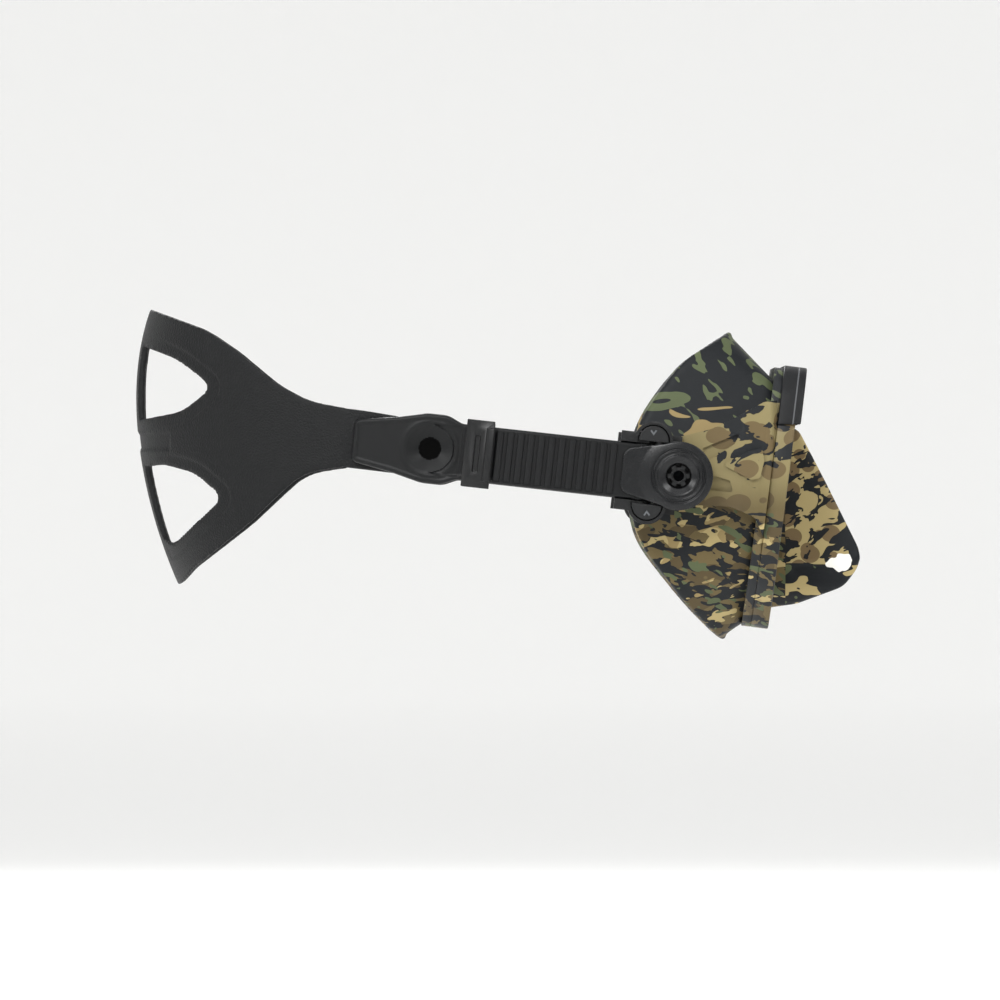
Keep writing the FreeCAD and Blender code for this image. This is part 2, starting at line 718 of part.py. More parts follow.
def tab_outline():
    """The strap end from the side: straight, then the wide thumb tab, then a narrow tip."""
    half, wide, end = sheet.strap_width / 2, sheet.tab_half, sheet.tail_end
    hole = sheet.tab_hole_u
    flare = sheet.keeper_u + sheet.keeper_length / 2 + 1.6
    return rounded(both_sides_u([
        (sheet.roller_u, half, 0.2), (flare, half, 4), (hole - 5, wide, 8), (hole + 2, wide, 9),
        (hole + 12, 0.8 * wide, 30), (end, 0.6 * wide, 3),
    ]))


def both_sides_u(half):
    """A closed outline from the corners of its +v half, listed along u."""
    return half + [(u, -v, radius) for u, v, radius in reversed(half)]


def make_tail():
    """The free end of the strap, from the roller back to the thumb tab."""
    outer, thick = value(OUTER), sheet.tail_thick
    start, end = (outer, sheet.roller_u), (outer - 2.0, sheet.tail_end)
    wall = padded("tail_wall", "XY_Plane", [bowed(start, end, sheet.tail_bow, 0, thick)], "-20", "20")
    side = padded("tail_side", "YZ_Plane", [tab_outline()], f"{INNER}", f"{ROOF} + 10")
    mouth = box("mouth_room", (f"{ROOF} - clearance", f"{ROOF} + 5"),
                ("roller_u - 5", "housing_end + 1.5"), ("-20", "20"))
    hole = cylinder("tab_hole", "tab_hole_radius", "x", INNER, f"{ROOF} + 10", ("tab_hole_u", "0"))
    face = f"{ROOF} + 0.3"
    dish = cone("tab_dish", "tab_hole_radius", "tab_cone_radius", f"{face} - 1.2", f"{face} + 2",
                ("tab_hole_u", "0"))
    item = cut("tail", common("tail_blank", wall, side), mouth, hole, dish)
    node_pair(turned(item, sheet.strap_rise), "strap_tail_{}")


def make_keeper():
    """The loop that holds the strap's free end against the side strap."""
    low, high = "keeper_u - keeper_length / 2", "keeper_u + keeper_length / 2"
    near, far = f"{ROLLER_X} - 0.1", f"{ROOF} + 1.7"
    across = "strap_width / 2 + 1.2 * clearance"
    loop = box("keeper_out", (f"{near} - keeper_wall", f"{far} + keeper_wall"), (low, high),
               (f"-({across}) - keeper_wall", f"{across} + keeper_wall"))
    room = box("keeper_in", (near, far), (f"{low} - 1", f"{high} + 1"), (f"-({across})", across))
    slot = box("keeper_slot", (f"{far} + keeper_wall - 0.7", f"{far} + keeper_wall + 1"),
               ("keeper_u - 0.4", "keeper_u + 1.3"), ("-6.2", "6.2"))
    rail = box("keeper_rail", (f"{far} + keeper_wall", f"{far} + keeper_wall + 0.5"),
               (f"{low}", f"{low} + 2.4"), ("-9", "9"))
    item = cut("keeper", fuse("keeper_blank", loop, rail), room, slot)
    node_pair(turned(item, sheet.strap_rise), "strap_keeper_{}")


# ---------------------------------------------------------------- headband
def head_ring(name, grow, z):
    """A level oval round the head at a height, which is longest a little above the eyes."""
    curve = 170 if z > 28 else 290
    rear = sheet.head_rear - sheet.head_middle - (z - 28) ** 2 / curve + grow
    half = sheet.head_half + grow
    points = []
    for step in range(24):
        angle = math.radians(15 * step)
        points.append(V(half * math.sin(angle), sheet.head_middle - rear * math.cos(angle), z))
    spline = Part.BSplineCurve()
    spline.interpolate(points, PeriodicFlag=True)
    ring = doc.addObject("Part::Feature", name)
    ring.Shape = Part.Wire(spline.toShape())
    return ring


def head_shell(name, grow):
    """A smooth head shape lofted through level ovals."""
    rings = [head_ring(f"{name}_{z + 50}", grow, z) for z in (-50, -20, 8, 28, 62)]
    item = loft(name, *rings)
    item.Ruled = False
    return item


def make_headband():
    """The rear band: it splits into an upper, a middle and a lower arm joined by a rear post."""
    thick = sheet.strap_thick
    wall = cut("band_wall", head_shell("band_out", thick), head_shell("band_in", thick - sheet.band_thick))
    wide = "head_half + 30"
    side = padded("band_side", "YZ_Plane", [rounded([
        (106, 21.8, 0.5), (124.2, 25.2, 30), (136, 31.5, 40), (149.6, 42.9, 25), (159, 49.4, 20),
        (190, 61, 0.5), (190, -42, 0.5), (168.7, -36.6, 3), (164, -31.2, 14), (145.6, -16.7, 50),
        (127, 0.8, 20), (112, 3.1, 20), (106, 3.3, 0.5),
    ])], f"-({wide})", wide)
    upper = padded("upper_window", "YZ_Plane", [rounded([
        (184.5, 45.4, 0.4), (170.2, 39.8, 30), (157.6, 30.2, 3.2), (168.5, 21.8, 14), (190, 18, 0.4),
    ])], "rear_post_half", wide)
    lower = padded("lower_window", "YZ_Plane", [rounded([
        (190, 2.4, 0.4), (174.9, 4.0, 10), (164.2, 1.2, 14), (154.2, -7.2, 3.2), (172.6, -24.2, 3),
    ])], "rear_post_half", wide)
    windows = [upper, lower]
    for index, window in enumerate((upper, lower)):
        other = doc.addObject("Part::Mirroring", f"other_window_{index}")
        other.Source = window
        other.Normal = (1, 0, 0)
        windows.append(other)
    join = sheet.strap_join
    front = padded("front_room", "YZ_Plane", [rounded([
        (0, 80, 1), (join, 80, 1), (join, -80, 1), (0, -80, 1),
    ])], f"-({wide})", wide)
    item = cut("band", common("band_blank", wall, side), *windows, turned(front, sheet.strap_rise))
    node(item, "headband")


# ---------------------------------------------------------------- build and export
make_bezel()
make_lenses()
make_brow()
make_frame()
make_skirt()
make_pivot()
make_base()
make_cover()
make_roller()
make_wheels()
make_buttons()
make_springs()
make_side_strap()
make_tail()
make_keeper()
make_headband()
doc.recompute()

for item in doc.Objects:
    if {"Invalid", "Error"} & set(item.State):
        raise RuntimeError(f"{item.Name} ({item.Label}) did not build: {item.State}")
for item in NODES:
    if item.Shape.isNull() or not item.Shape.isValid() or not item.Shape.Solids:
        raise RuntimeError(f"{item.Label} has no valid solid")

os.makedirs("parts", exist_ok=True)
for item in NODES:
    item.Shape.exportStep(f"parts/{item.Label}.step")
    room = item.Shape.BoundBox
    print(f"{item.Label:30s} {len(item.Shape.Solids)} {item.Shape.Volume:10.1f}",
          f"{room.XMin:7.1f} {room.XMax:6.1f} {room.YMin:7.1f} {room.YMax:6.1f}",
          f"{room.ZMin:6.1f} {room.ZMax:6.1f}")
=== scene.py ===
import math

import bmesh
import bpy
import numpy as np
from bpy.props import FloatProperty, FloatVectorProperty, IntProperty, PointerProperty
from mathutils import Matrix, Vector


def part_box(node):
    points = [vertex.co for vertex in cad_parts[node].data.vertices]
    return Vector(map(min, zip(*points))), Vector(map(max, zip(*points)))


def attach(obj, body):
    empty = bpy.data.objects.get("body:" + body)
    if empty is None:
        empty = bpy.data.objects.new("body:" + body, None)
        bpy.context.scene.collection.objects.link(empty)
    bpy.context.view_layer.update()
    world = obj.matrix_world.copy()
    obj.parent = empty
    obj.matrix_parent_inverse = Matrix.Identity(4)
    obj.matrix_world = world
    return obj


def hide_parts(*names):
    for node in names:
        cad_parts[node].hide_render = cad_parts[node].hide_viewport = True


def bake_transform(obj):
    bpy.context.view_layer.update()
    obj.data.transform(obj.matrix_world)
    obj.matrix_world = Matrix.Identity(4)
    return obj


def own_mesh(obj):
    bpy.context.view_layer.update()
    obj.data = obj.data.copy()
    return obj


bl_info = {
    "name": "Camo diving mask",
    "version": (1, 0, 0),
    "blender": (4, 5, 0),
    "location": "View3D > Sidebar > Diving Mask",
    "description": "Builds the skirt, frame, buckles and strap of a camouflage diving mask",
    "category": "Object",
}

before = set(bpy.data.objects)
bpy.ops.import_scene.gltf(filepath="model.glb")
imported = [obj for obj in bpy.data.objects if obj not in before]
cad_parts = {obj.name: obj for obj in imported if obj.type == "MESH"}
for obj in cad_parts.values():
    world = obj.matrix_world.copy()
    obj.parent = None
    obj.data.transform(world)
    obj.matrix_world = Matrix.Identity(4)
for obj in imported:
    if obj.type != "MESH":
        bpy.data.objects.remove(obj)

# Lengths below are in millimetres. A strap place is (x, u, v): outwards from the middle of the
# mask, back along the strap from the pivots, and up across it.
MM = 0.001
SIDES = (("left", 1.0), ("right", -1.0))
STRAP_RISE = math.radians(6.3)
LENS_TILT = math.radians(7.3)
FRONT_PLANE = -37.4  # where the tilted front plane crosses the axis of the mask
ROLLER = (79.0, 14.0)  # x and u of the strap roller's axis
WRAP_RADIUS = 3.3  # from the roller's axis to the middle of the strap round it
STRAP_HALF, STRAP_THICK = 9.5, 2.0
STRETCH_START, STRETCH_END = 24.0, 108.0  # u where the bands start and stop stretching
TAIL_START, TAB_START, TAIL_END = 14.0, 62.4, 110.5
DIMPLE = 84.3  # u of the thumb dimple's middle
DIMPLE_FLOOR, DIMPLE_RIM = 3.7, 8.4  # radii of its flat floor and of its rim
FIRST_RIB = 22.6
HUB_FACE = 83.2  # x where the face of the buckle cover starts
CAP_GAP = 0.07  # how far a button cap keeps inside its solid, to clear the cover
PANEL_HEIGHT = 11.9  # z of the blank panel on the headband
HEAD_MIDDLE = 84.0  # y of the middle of the head

# The rear edge of the skirt from its lower to its upper corner, as (y, z, corner radius).
SEAL = [(-45, 52, 1), (-20, 50.5, 4), (-1.2, 38.8, 25), (13.3, 18.5, 30), (16.0, -2, 40),
        (13.5, -22, 22), (-3, -43.5, 60), (-14.5, -55.3, 5), (-29, -55.8, 4)]
# The upper and the lower window of the headband, as (y, z, corner radius).
WINDOWS = (
    [(190, 45.4, 1), (184.5, 45.4, 1), (170.2, 39.8, 30), (157.6, 30.2, 3.2), (168.5, 21.8, 14),
     (190, 18, 1)],
    [(190, 2.4, 1), (174.9, 4, 10), (164.2, 1.2, 14), (154.2, -7.2, 3.2), (172.6, -24.2, 3),
     (190, -31, 1)],
)


# ------------------------------------------------------------------ sizes and colours
def tint(name, description, default):
    """A colour property, given as display values."""
    return FloatVectorProperty(name=name, description=description, default=linear(default),
                               size=3, min=0.0, max=1.0, subtype="COLOR")


def linear(code):
    """A six-digit display colour as linear red, green and blue."""
    parts = [int(code[i:i + 2], 16) / 255 for i in (0, 2, 4)]
    return tuple(p / 12.92 if p <= 0.04045 else ((p + 0.055) / 1.055) ** 2.4 for p in parts)


class MaskColours(bpy.types.PropertyGroup):
    """The colours of the mask."""
    black: tint("Camo black", "Darkest colour of the camouflage", "15181b")
    sand: tint("Sand", "Lightest colour of the camouflage", "aa996a")
    tan: tint("Tan", "Streaks high on the skirt", "8e7c53")
    khaki: tint("Khaki", "Main colour of the lower skirt", "625537")
    # Brown is also used as painted shade on the frame's taupe discs low on the frame.
    brown: tint("Brown", "Shaded patches in the khaki", "50442c")
    taupe: tint("Taupe", "Round patches on the sand", "6f5d40")
    olive: tint("Olive", "Green patches", "50583d")
    frame_sand: tint("Frame sand", "Ground colour of the front frame", "817651")
    # Painted shade: the frame's sand as it darkens low on the frame.
    frame_sand_in_shade: tint("Frame khaki", "Ground colour low on the frame", "615536")
    frame_taupe: tint("Frame taupe", "Round patches on the front frame", "645538")
    pale: tint("Pale blotch", "The pale mark on the nose pocket", "fbf9f2")
    rubber: tint("Strap rubber", "Headband and straps", "0f1011")
    nylon: tint("Buckle nylon", "Buckles, keepers and buttons", "0c0d0e")
    cap: tint("Button cap", "Release button caps", "131415")
    floor: tint("Floor", "Studio floor", "f4f4f3")


class MaskSizes(bpy.types.PropertyGroup):
    """The small sizes of the finished surfaces."""
    skirt_grid: FloatProperty(name="Skirt grid", description="Size of the skirt's mesh faces",
                              default=0.95 * MM, unit="LENGTH")
    band_grid: FloatProperty(name="Headband grid", description="Size of the headband's faces",
                             default=0.72 * MM, unit="LENGTH")
    buckle_grid: FloatProperty(name="Buckle grid", description="Size of the covers' faces",
                               default=0.24 * MM, unit="LENGTH")
    lip: FloatProperty(name="Seal lip", description="Width of the skirt's inner sealing lip",
                       default=11.0 * MM, unit="LENGTH")
    rib_count: IntProperty(name="Ribs", description="Ribs on each strap tail", default=12)
    rib_pitch: FloatProperty(name="Rib pitch", description="Distance between ribs",
                             default=3.5 * MM, unit="LENGTH")
    rib_width: FloatProperty(name="Rib width", description="Width of a rib",
                             default=2.25 * MM, unit="LENGTH")
    fingers: IntProperty(name="Pin fingers", description="Fingers round the pin's star", default=6)


# ------------------------------------------------------------------ node trees
class Link:
    """A socket whose arithmetic adds Math nodes."""

    def __init__(self, tree, socket):
        self.tree, self.socket = tree, socket

    def math(self, operation, *values):
        return self.tree.math(operation, self, *values)

    def __add__(self, other):
        return self.math("ADD", other)

    def __sub__(self, other):
        return self.math("SUBTRACT", other)

    def __mul__(self, other):
        return self.math("MULTIPLY", other)

    def __truediv__(self, other):
        return self.math("DIVIDE", other)

    def __rsub__(self, other):
        return self.tree.math("SUBTRACT", other, self)

    __radd__, __rmul__ = __add__, __mul__

    def clamped(self):
        return self.tree.node("ShaderNodeClamp", {}, {"Value": self})

    def above(self, level, soft):
        """0 below a level and 1 above it, over a soft step."""
        return ((self - level) / soft).clamped()


class Tree:
    """A node tree, built one node at a time."""

    def __init__(self, tree):
        self.tree = tree
        tree.nodes.clear()

    def node(self, kind, settings, inputs, output=0):
        """Adds a node: its settings first, then the values or links of its sockets."""
        made = self.tree.nodes.new(kind)
        for name, setting in settings.items():
            setattr(made, name, setting)
        for key, value in inputs.items():
            if isinstance(value, Link):
                self.tree.links.new(value.socket, made.inputs[key])
            else:
                made.inputs[key].default_value = value
        return Link(self, made.outputs[output]) if made.outputs else made

    def math(self, operation, *values):
        return self.node("ShaderNodeMath", {"operation": operation}, dict(enumerate(values)))

    def mix(self, factor, first, second):
        """A colour between two."""
        ends = [c if isinstance(c, Link) else (*c, 1.0) for c in (first, second)]
        return self.node("ShaderNodeMix", {"data_type": "RGBA"},
                         {0: factor, 6: ends[0], 7: ends[1]}, output=2)


class Finish(Tree):
    """A material with one Principled shader."""

    def __init__(self, name, **values):
        self.material = bpy.data.materials.new(name)
        self.material.use_nodes = True
        super().__init__(self.material.node_tree)
        self.values = values
        self.place = self.node("ShaderNodeTexCoord", {}, {}, output=3)

    def axis(self, index):
        """One object coordinate in millimetres."""
        return self.node("ShaderNodeSeparateXYZ", {}, {0: self.place}, output=index) * 1000.0

    def stretched(self, size, turn=(0.0, 0.0, 0.0)):
        """The place, turned and divided by a size in millimetres along each axis."""
        turned = self.node("ShaderNodeVectorRotate", {"rotation_type": "EULER_XYZ"},
                           {"Vector": self.place, "Rotation": turn})
        return self.node("ShaderNodeVectorMath", {"operation": "MULTIPLY"},
                         {0: turned, 1: tuple(1000.0 / s for s in size)})

    def noise(self, place, seed, detail=1.0, rough=0.5, warp=0.0):
        return self.node("ShaderNodeTexNoise", {"noise_dimensions": "4D"},
                         {"Vector": place, "W": seed, "Scale": 1.0, "Detail": detail,
                          "Roughness": rough, "Distortion": warp})

    def cells(self, place, feature="F1", spread=1.0):
        return self.node("ShaderNodeTexVoronoi", {"feature": feature},
                         {"Vector": place, "Scale": 1.0, "Randomness": spread})

    def done(self, normal_height=None, depth=0.05, **links):
        """Adds the shader, with a bump where a height is given, and returns the material."""
        if normal_height is not None:
            links["Normal"] = self.node("ShaderNodeBump", {}, {
                "Height": normal_height, "Strength": 1.0, "Distance": depth * MM})
        inputs = {key.replace("_", " "): value for key, value in self.values.items()}
        inputs.update({key.replace("_", " "): value for key, value in links.items()})
        shader = self.node("ShaderNodeBsdfPrincipled", {}, inputs)
        self.node("ShaderNodeOutputMaterial", {}, {0: shader})
        return self.material


def colour(name):
    return tuple(getattr(bpy.context.scene.mask_colours, name))


def size(name):
    return getattr(bpy.context.scene.mask_sizes, name)


# ------------------------------------------------------------------ finishes
def busy_camo(f):
    """The crowded streaks low on the skirt and the frame, over black."""
    khaki = f.noise(f.stretched((4.8, 7.6, 3.8), (-0.3, 0, 0)), 11.0, 1.8, 0.55, 0.7)
    khaki = khaki.above(0.508, 0.006)
    brown = f.noise(f.stretched((8.0, 9.0, 7.0), (0.5, 0, 0)), 4.0, 1.0).above(0.54, 0.008)
    sand = f.noise(f.stretched((4.4, 7.0, 3.4), (0.25, 0, 0)), 23.0, 1.5, 0.5, 0.6)
    sand = sand.above(0.615, 0.006)
    olive = f.noise(f.stretched((4.6, 7.2, 3.6), (-0.5, 0, 0)), 31.0, 1.2, 0.5, 0.5)
    olive = olive.above(0.615, 0.006)
    shade = f.mix(khaki, colour("black"), colour("khaki"))
    shade = f.mix(brown * khaki, shade, colour("brown"))
    shade = f.mix(olive, shade, colour("olive"))
    return f.mix(sand * (1.0 - olive), shade, f.mix(brown, colour("sand"), colour("tan")))


def sparse_camo(f, crown):
    """The few long streaks high on the skirt: olive by the forehead, sand below."""
    sand = f.noise(f.stretched((7.0, 15.0, 5.6), (0.12, 0, 0)), 63.2, 0.8, 0.45, 0.5)
    sand = (sand - crown * 0.2).above(0.565, 0.006)
    olive = f.noise(f.stretched((4.6, 8.0, 3.4), (-0.85, 0, 0)), 35.0, 1.0, 0.45, 0.4)
    olive = (olive + crown * 0.09).above(0.65, 0.006)
    shade = f.mix(olive, colour("black"), colour("olive"))
    return f.mix(sand, shade, colour("tan"))


def pocket_camo(f):
    """The broad sand field of the nose pocket, torn by black, with taupe discs."""
    discs = (0.4 - f.cells(f.stretched((8.4, 8.4, 7.6)))).above(0.0, 0.012)
    cuts = f.noise(f.stretched((5.4, 7.6, 4.4), (0.55, 0, 0)), 52.0, 2.2, 0.58, 0.8)
    cuts = cuts.above(0.505, 0.006)
    shade = f.mix(discs, colour("sand"), colour("taupe"))
    return f.mix(cuts, shade, colour("black"))


def under_camo(f):
    """Black with a few olive and sand patches, under the nose pocket's fold."""
    olive = f.noise(f.stretched((6.0, 9.0, 5.0)), 71.0, 1.2, 0.5, 0.4).above(0.6, 0.006)
    sand = f.noise(f.stretched((6.0, 9.0, 5.0)), 83.0, 1.2, 0.5, 0.4).above(0.62, 0.006)
    return f.mix(sand, f.mix(olive, colour("black"), colour("olive")), colour("sand"))


def leaf(f, depth, height):
    """One large olive leaf with a black slit, on each side above the buckle."""
    ragged = f.noise(f.stretched((6, 6, 6)), 8.0, 1.0) - 0.5
    across = (height - 25.3 + (depth - 6.0) * 0.12).math("ABSOLUTE")
    along = (depth - 5.5).math("ABSOLUTE")
    body = (along / 9.5).math("POWER", 2.0) + (across / 3.2).math("POWER", 2.0)
    slit = (along / 3.0).math("POWER", 2.0) + (across / 0.75).math("POWER", 2.0)
    return (1.0 - body + ragged * 0.7).above(0.0, 0.03) * slit.above(1.0, 0.1)


def skirt_camo():
    """Soft silicone in a camouflage that changes from zone to zone."""
    f = Finish("skirt_camo", Specular_IOR_Level=0.2)
    depth, height = f.axis(1), f.axis(2)
    drift = (f.noise(f.stretched((16, 16, 16)), 3.0, 2.0) - 0.5) * 14.0
    upper = (height + drift).above(-3.0, 0.2)
    crown = (height + drift * 0.4 - depth * 0.15).above(29.0, 3.0)
    pocket = (-37.0 - depth).above(0.0, 0.2)
    under = (-30.0 - height + drift * 0.25).above(0.0, 0.2)
    far = f.node("ShaderNodeVectorMath", {"operation": "DISTANCE"},
                 {0: f.stretched((1e6, 7.4, 4.6)), 1: (0, -56.4 / 7.4, -29.6 / 4.6)}, output=1)
    ragged = f.noise(f.stretched((4, 4, 4)), 8.0, 1.0) - 0.5
    blotch = (0.6 - far - ragged * 0.9).above(0.0, 0.02)
    shade = f.mix(upper, busy_camo(f), sparse_camo(f, crown))
    shade = f.mix(leaf(f, depth, height) * upper, shade, colour("olive"))
    shade = f.mix(pocket, shade, f.mix(under, pocket_camo(f), under_camo(f)))
    shade = f.mix(blotch, shade, colour("pale"))
    grain = f.noise(f.stretched((0.35, 0.35, 0.35)), 1.0, 2.0)
    ripple = f.noise(f.stretched((9, 9, 9)), 6.0, 1.0)
    return f.done(grain + ripple * 3.0, 0.04, Base_Color=shade, Roughness=0.42 + grain * 0.16)


def frame_camo():
    """Hard plastic printed in sand and taupe, torn with black above and crowded below, with
    painted shade darkening it smoothly towards the bottom.
    """
    f = Finish("frame_camo", Specular_IOR_Level=0.3)
    depth, height = f.axis(1), f.axis(2)
    drift = (f.noise(f.stretched((12, 12, 12)), 3.0, 2.0) - 0.5) * 16.0
    discs = f.cells(f.stretched((9.0, 11.5, 8.6), (0.2, 0, 0)), spread=0.85)
    discs = (0.42 - discs).above(0.0, 0.012)
    torn = f.noise(f.stretched((8.0, 10.0, 6.4), (0.3, 0, 0)), 17.0, 2.4, 0.58, 0.9)
    zone = (height + drift * 0.3).above(2.0, 5.0) * (-13.0 - depth).above(0.0, 6.0)
    torn = (torn - 0.15 * (1.0 - zone)).above(0.488, 0.006)
    crown = (height + drift * 0.2).above(25.0, 0.2)
    low = (-12.5 - height + drift * 0.4).above(0.0, 0.2)
    # Painted shade: towards the bottom the sand darkens smoothly to khaki and the taupe discs to
    # brown.
    shaded = (1.0 - height).above(0.0, 12.0)
    shade = f.mix(shaded, colour("frame_sand"), colour("frame_sand_in_shade"))
    shade = f.mix(discs, shade, f.mix(shaded, colour("frame_taupe"), colour("brown")))
    shade = f.mix(torn, shade, colour("black"))
    shade = f.mix(crown, shade, sparse_camo(f, crown))
    shade = f.mix(low, shade, busy_camo(f))
    grain = f.noise(f.stretched((0.28, 0.28, 0.28)), 2.0, 2.0)
    return f.done(grain, 0.025, Base_Color=shade, Roughness=0.36 + grain * 0.16)


def moulded(name, tone, rough, grain_size=0.25, depth=0.02, gloss=0.35):
    """Black moulded plastic or rubber with a fine grain."""
    f = Finish(name, Specular_IOR_Level=gloss)
    grain = f.noise(f.stretched((grain_size,) * 3), 5.0, 3.0, 0.6)
    broad = f.noise(f.stretched((14, 14, 14)), 9.0, 2.0)
    base = tone if isinstance(tone, tuple) else colour(tone)
    shade = f.mix(broad * 0.35 + grain * 0.15, base, tuple(c * 1.25 + 0.001 for c in base))
    return f.done(grain, depth, Base_Color=shade, Roughness=rough - 0.06 + grain * 0.12)


def band_rubber():
    """Silicone rubber with a fine leather-like grain."""
    f = Finish("band_rubber", Specular_IOR_Level=0.2)
    creases = f.cells(f.stretched((1.1, 1.1, 1.1)), "DISTANCE_TO_EDGE").above(0.0, 0.32)
    fine = f.noise(f.stretched((0.3, 0.3, 0.3)), 7.0, 3.0, 0.6)
    broad = f.noise(f.stretched((16, 16, 16)), 12.0, 2.0)
    tone = colour("rubber")
    shade = f.mix(broad * 0.5 + creases * 0.2, tone, tuple(c * 1.45 + 0.002 for c in tone))
    return f.done(creases * 0.7 + fine * 0.6, 0.13, Base_Color=shade,
                  Roughness=0.44 + fine * 0.16 + creases * 0.04)


def brow_satin():
    """Black satin cap with one crease down its side near the front, pressed in by bump and given a
    painted highlight.
    """
    f = Finish("brow_satin", Specular_IOR_Level=0.25)
    back = (f.axis(1) - FRONT_PLANE) * math.cos(LENS_TILT) + f.axis(2) * math.sin(LENS_TILT)
    line = 1.0 - (back - 0.9).math("ABSOLUTE").above(0.12, 0.2)
    grain = f.noise(f.stretched((0.25, 0.25, 0.25)), 5.0, 3.0, 0.6)
    shade = f.mix(grain * 0.3, linear("0e0f11"), linear("151719"))
    # Painted highlight: the crease line is lightened towards grey.
    shade = f.mix(line * 0.55, shade, linear("6f7174"))
    return f.done(grain * 0.3 - line, 0.08, Base_Color=shade, Roughness=0.4 + grain * 0.14)


def steel():
    """Brushed stainless steel."""
    f = Finish("steel", Metallic=1.0)
    brushed = f.noise(f.stretched((3.0, 0.12, 0.12)), 2.0, 3.0)
    shade = f.mix(brushed, linear("8d9094"), linear("c3c6ca"))
    return f.done(brushed, 0.01, Base_Color=shade, Roughness=0.22 + brushed * 0.2)


def glass():
    """Tempered lens glass, very slightly green."""
    f = Finish("lens_glass", Transmission_Weight=1.0, IOR=1.5)
    smear = f.noise(f.stretched((18, 18, 18)), 3.0, 2.0)
    shade = f.mix(smear, (0.93, 0.97, 0.95), (0.97, 0.99, 0.98))
    return f.done(None, Base_Color=shade, Roughness=0.012 + smear * 0.02)


FINISHES = {
    "skirt_camo": skirt_camo,
    "frame_camo": frame_camo,
    "brow_satin": brow_satin,
    "band_rubber": band_rubber,
    "steel": steel,
    "lens_glass": glass,
    "tail_rubber": lambda: moulded("tail_rubber", "rubber", 0.44, 0.35, 0.03, 0.22),
    "nylon": lambda: moulded("nylon", "nylon", 0.36, 0.22, 0.016),
    "cover_nylon": lambda: moulded("cover_nylon", linear("0e0f11"), 0.28, 0.22, 0.014),
    "cap_nylon": lambda: moulded("cap_nylon", "cap", 0.4, 0.3, 0.02),
    "arrow_ink": lambda: moulded("arrow_ink", linear("55585b"), 0.5),
    "acetal": lambda: moulded("acetal", linear("34373a"), 0.3, 0.3, 0.01),
    # Painted shade: a near-black, matt finish standing in for the dark inside of the thumb
    # dimple's hole.
    "deep_black": lambda: moulded("deep_black", linear("050505"), 0.9, 0.25, 0.01, 0.03),
}


def finish(name):
    """The material of a name, made the first time it is asked for."""
    return bpy.data.materials.get(name) or FINISHES[name]()


# ------------------------------------------------------------------ shapes
def rounded(corners, closed=True, steps=8):
    """Points along a polygon of (a, b, radius) corners with its corners turned to arcs."""
    points = []
    last = len(corners) - 1
    for i, corner in enumerate(corners):
        here = np.array(corner[:2], float)
        if not closed and i in (0, last):
            points.append(here)
            continue
        before = np.array(corners[i - 1][:2], float) - here
        after = np.array(corners[(i + 1) % len(corners)][:2], float) - here
        lengths = np.linalg.norm(before), np.linalg.norm(after)
        before, after = before / lengths[0], after / lengths[1]
        half = math.acos(max(-1.0, min(1.0, float(before @ after)))) / 2
        reach = min(corner[2] / math.tan(half), 0.49 * lengths[0], 0.49 * lengths[1])
        start, end = here + before * reach, here + after * reach
        for k in range(steps + 1):
            t = k / steps
            points.append((1 - t) ** 2 * start + 2 * t * (1 - t) * here + t * t * end)
    return np.array(points)


def away(places, line, closed=False):
    """Distances of flat places from a line of points."""
    ends = np.roll(line, -1, axis=0) if closed else line[1:]
    starts = line if closed else line[:-1]
    best = np.full(len(places), 1e9)
    for a, b in zip(starts, ends):
        run = b - a
        t = np.clip(((places - a) @ run) / max(float(run @ run), 1e-12), 0, 1)
        best = np.minimum(best, np.linalg.norm(places - a - t[:, None] * run, axis=1))
    return best


def step(value):
    """A smooth step of values from 0 to 1."""
    t = np.clip(value, 0, 1)
    return t * t * (3 - 2 * t)


def on_strap(side, x, u, v):
    """A place beside the mask, from its distance outwards, along the strap and across it."""
    return (side * x * MM,
            (u * math.cos(STRAP_RISE) - v * math.sin(STRAP_RISE)) * MM,
            (u * math.sin(STRAP_RISE) + v * math.cos(STRAP_RISE)) * MM)


def cad_copy(name, node):
    """A merged copy of a node's mesh, with its flat faces whole."""
    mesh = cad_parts[node].data.copy()
    mesh.name = name
    work = bmesh.new()
    work.from_mesh(mesh)
    bmesh.ops.remove_doubles(work, verts=work.verts, dist=1e-6)
    bmesh.ops.dissolve_limit(work, angle_limit=math.radians(0.6), verts=work.verts,
                             edges=work.edges)
    work.to_mesh(mesh)
    work.free()
    mesh.materials.clear()
    return mesh


def mesh_of(name, places, faces):
    """A mesh of places in metres, with its faces turned outwards."""
    mesh = bpy.data.meshes.new(name)
    mesh.from_pydata([tuple(p) for p in places], [], faces)
    work = bmesh.new()
    work.from_mesh(mesh)
    bmesh.ops.remove_doubles(work, verts=work.verts, dist=1e-7)
    bmesh.ops.recalc_face_normals(work, faces=work.faces)
    work.to_mesh(mesh)
    work.free()
    return mesh


def add(name, mesh):
    """An object at the origin for a mesh."""
    item = bpy.data.objects.new(name, mesh)
    bpy.context.scene.collection.objects.link(item)
    return item


def plain_mesh(item):
    """The mesh that an object shows, with its modifiers or its curve worked out."""
    bpy.context.view_layer.update()
    graph = bpy.context.evaluated_depsgraph_get()
    return bpy.data.meshes.new_from_object(item.evaluated_get(graph))


def settle(item):
    """Makes an object's modifiers part of its mesh."""
    mesh = plain_mesh(item)
    item.modifiers.clear()
    item.data = mesh
    return item


def joined(name, items):
    """One object from several, each already a plain mesh."""
    work = bmesh.new()
    for item in items:
        work.from_mesh(item.data)
        bpy.data.objects.remove(item)
    mesh = bpy.data.meshes.new(name)
    work.to_mesh(mesh)
    work.free()
    return add(name, mesh)


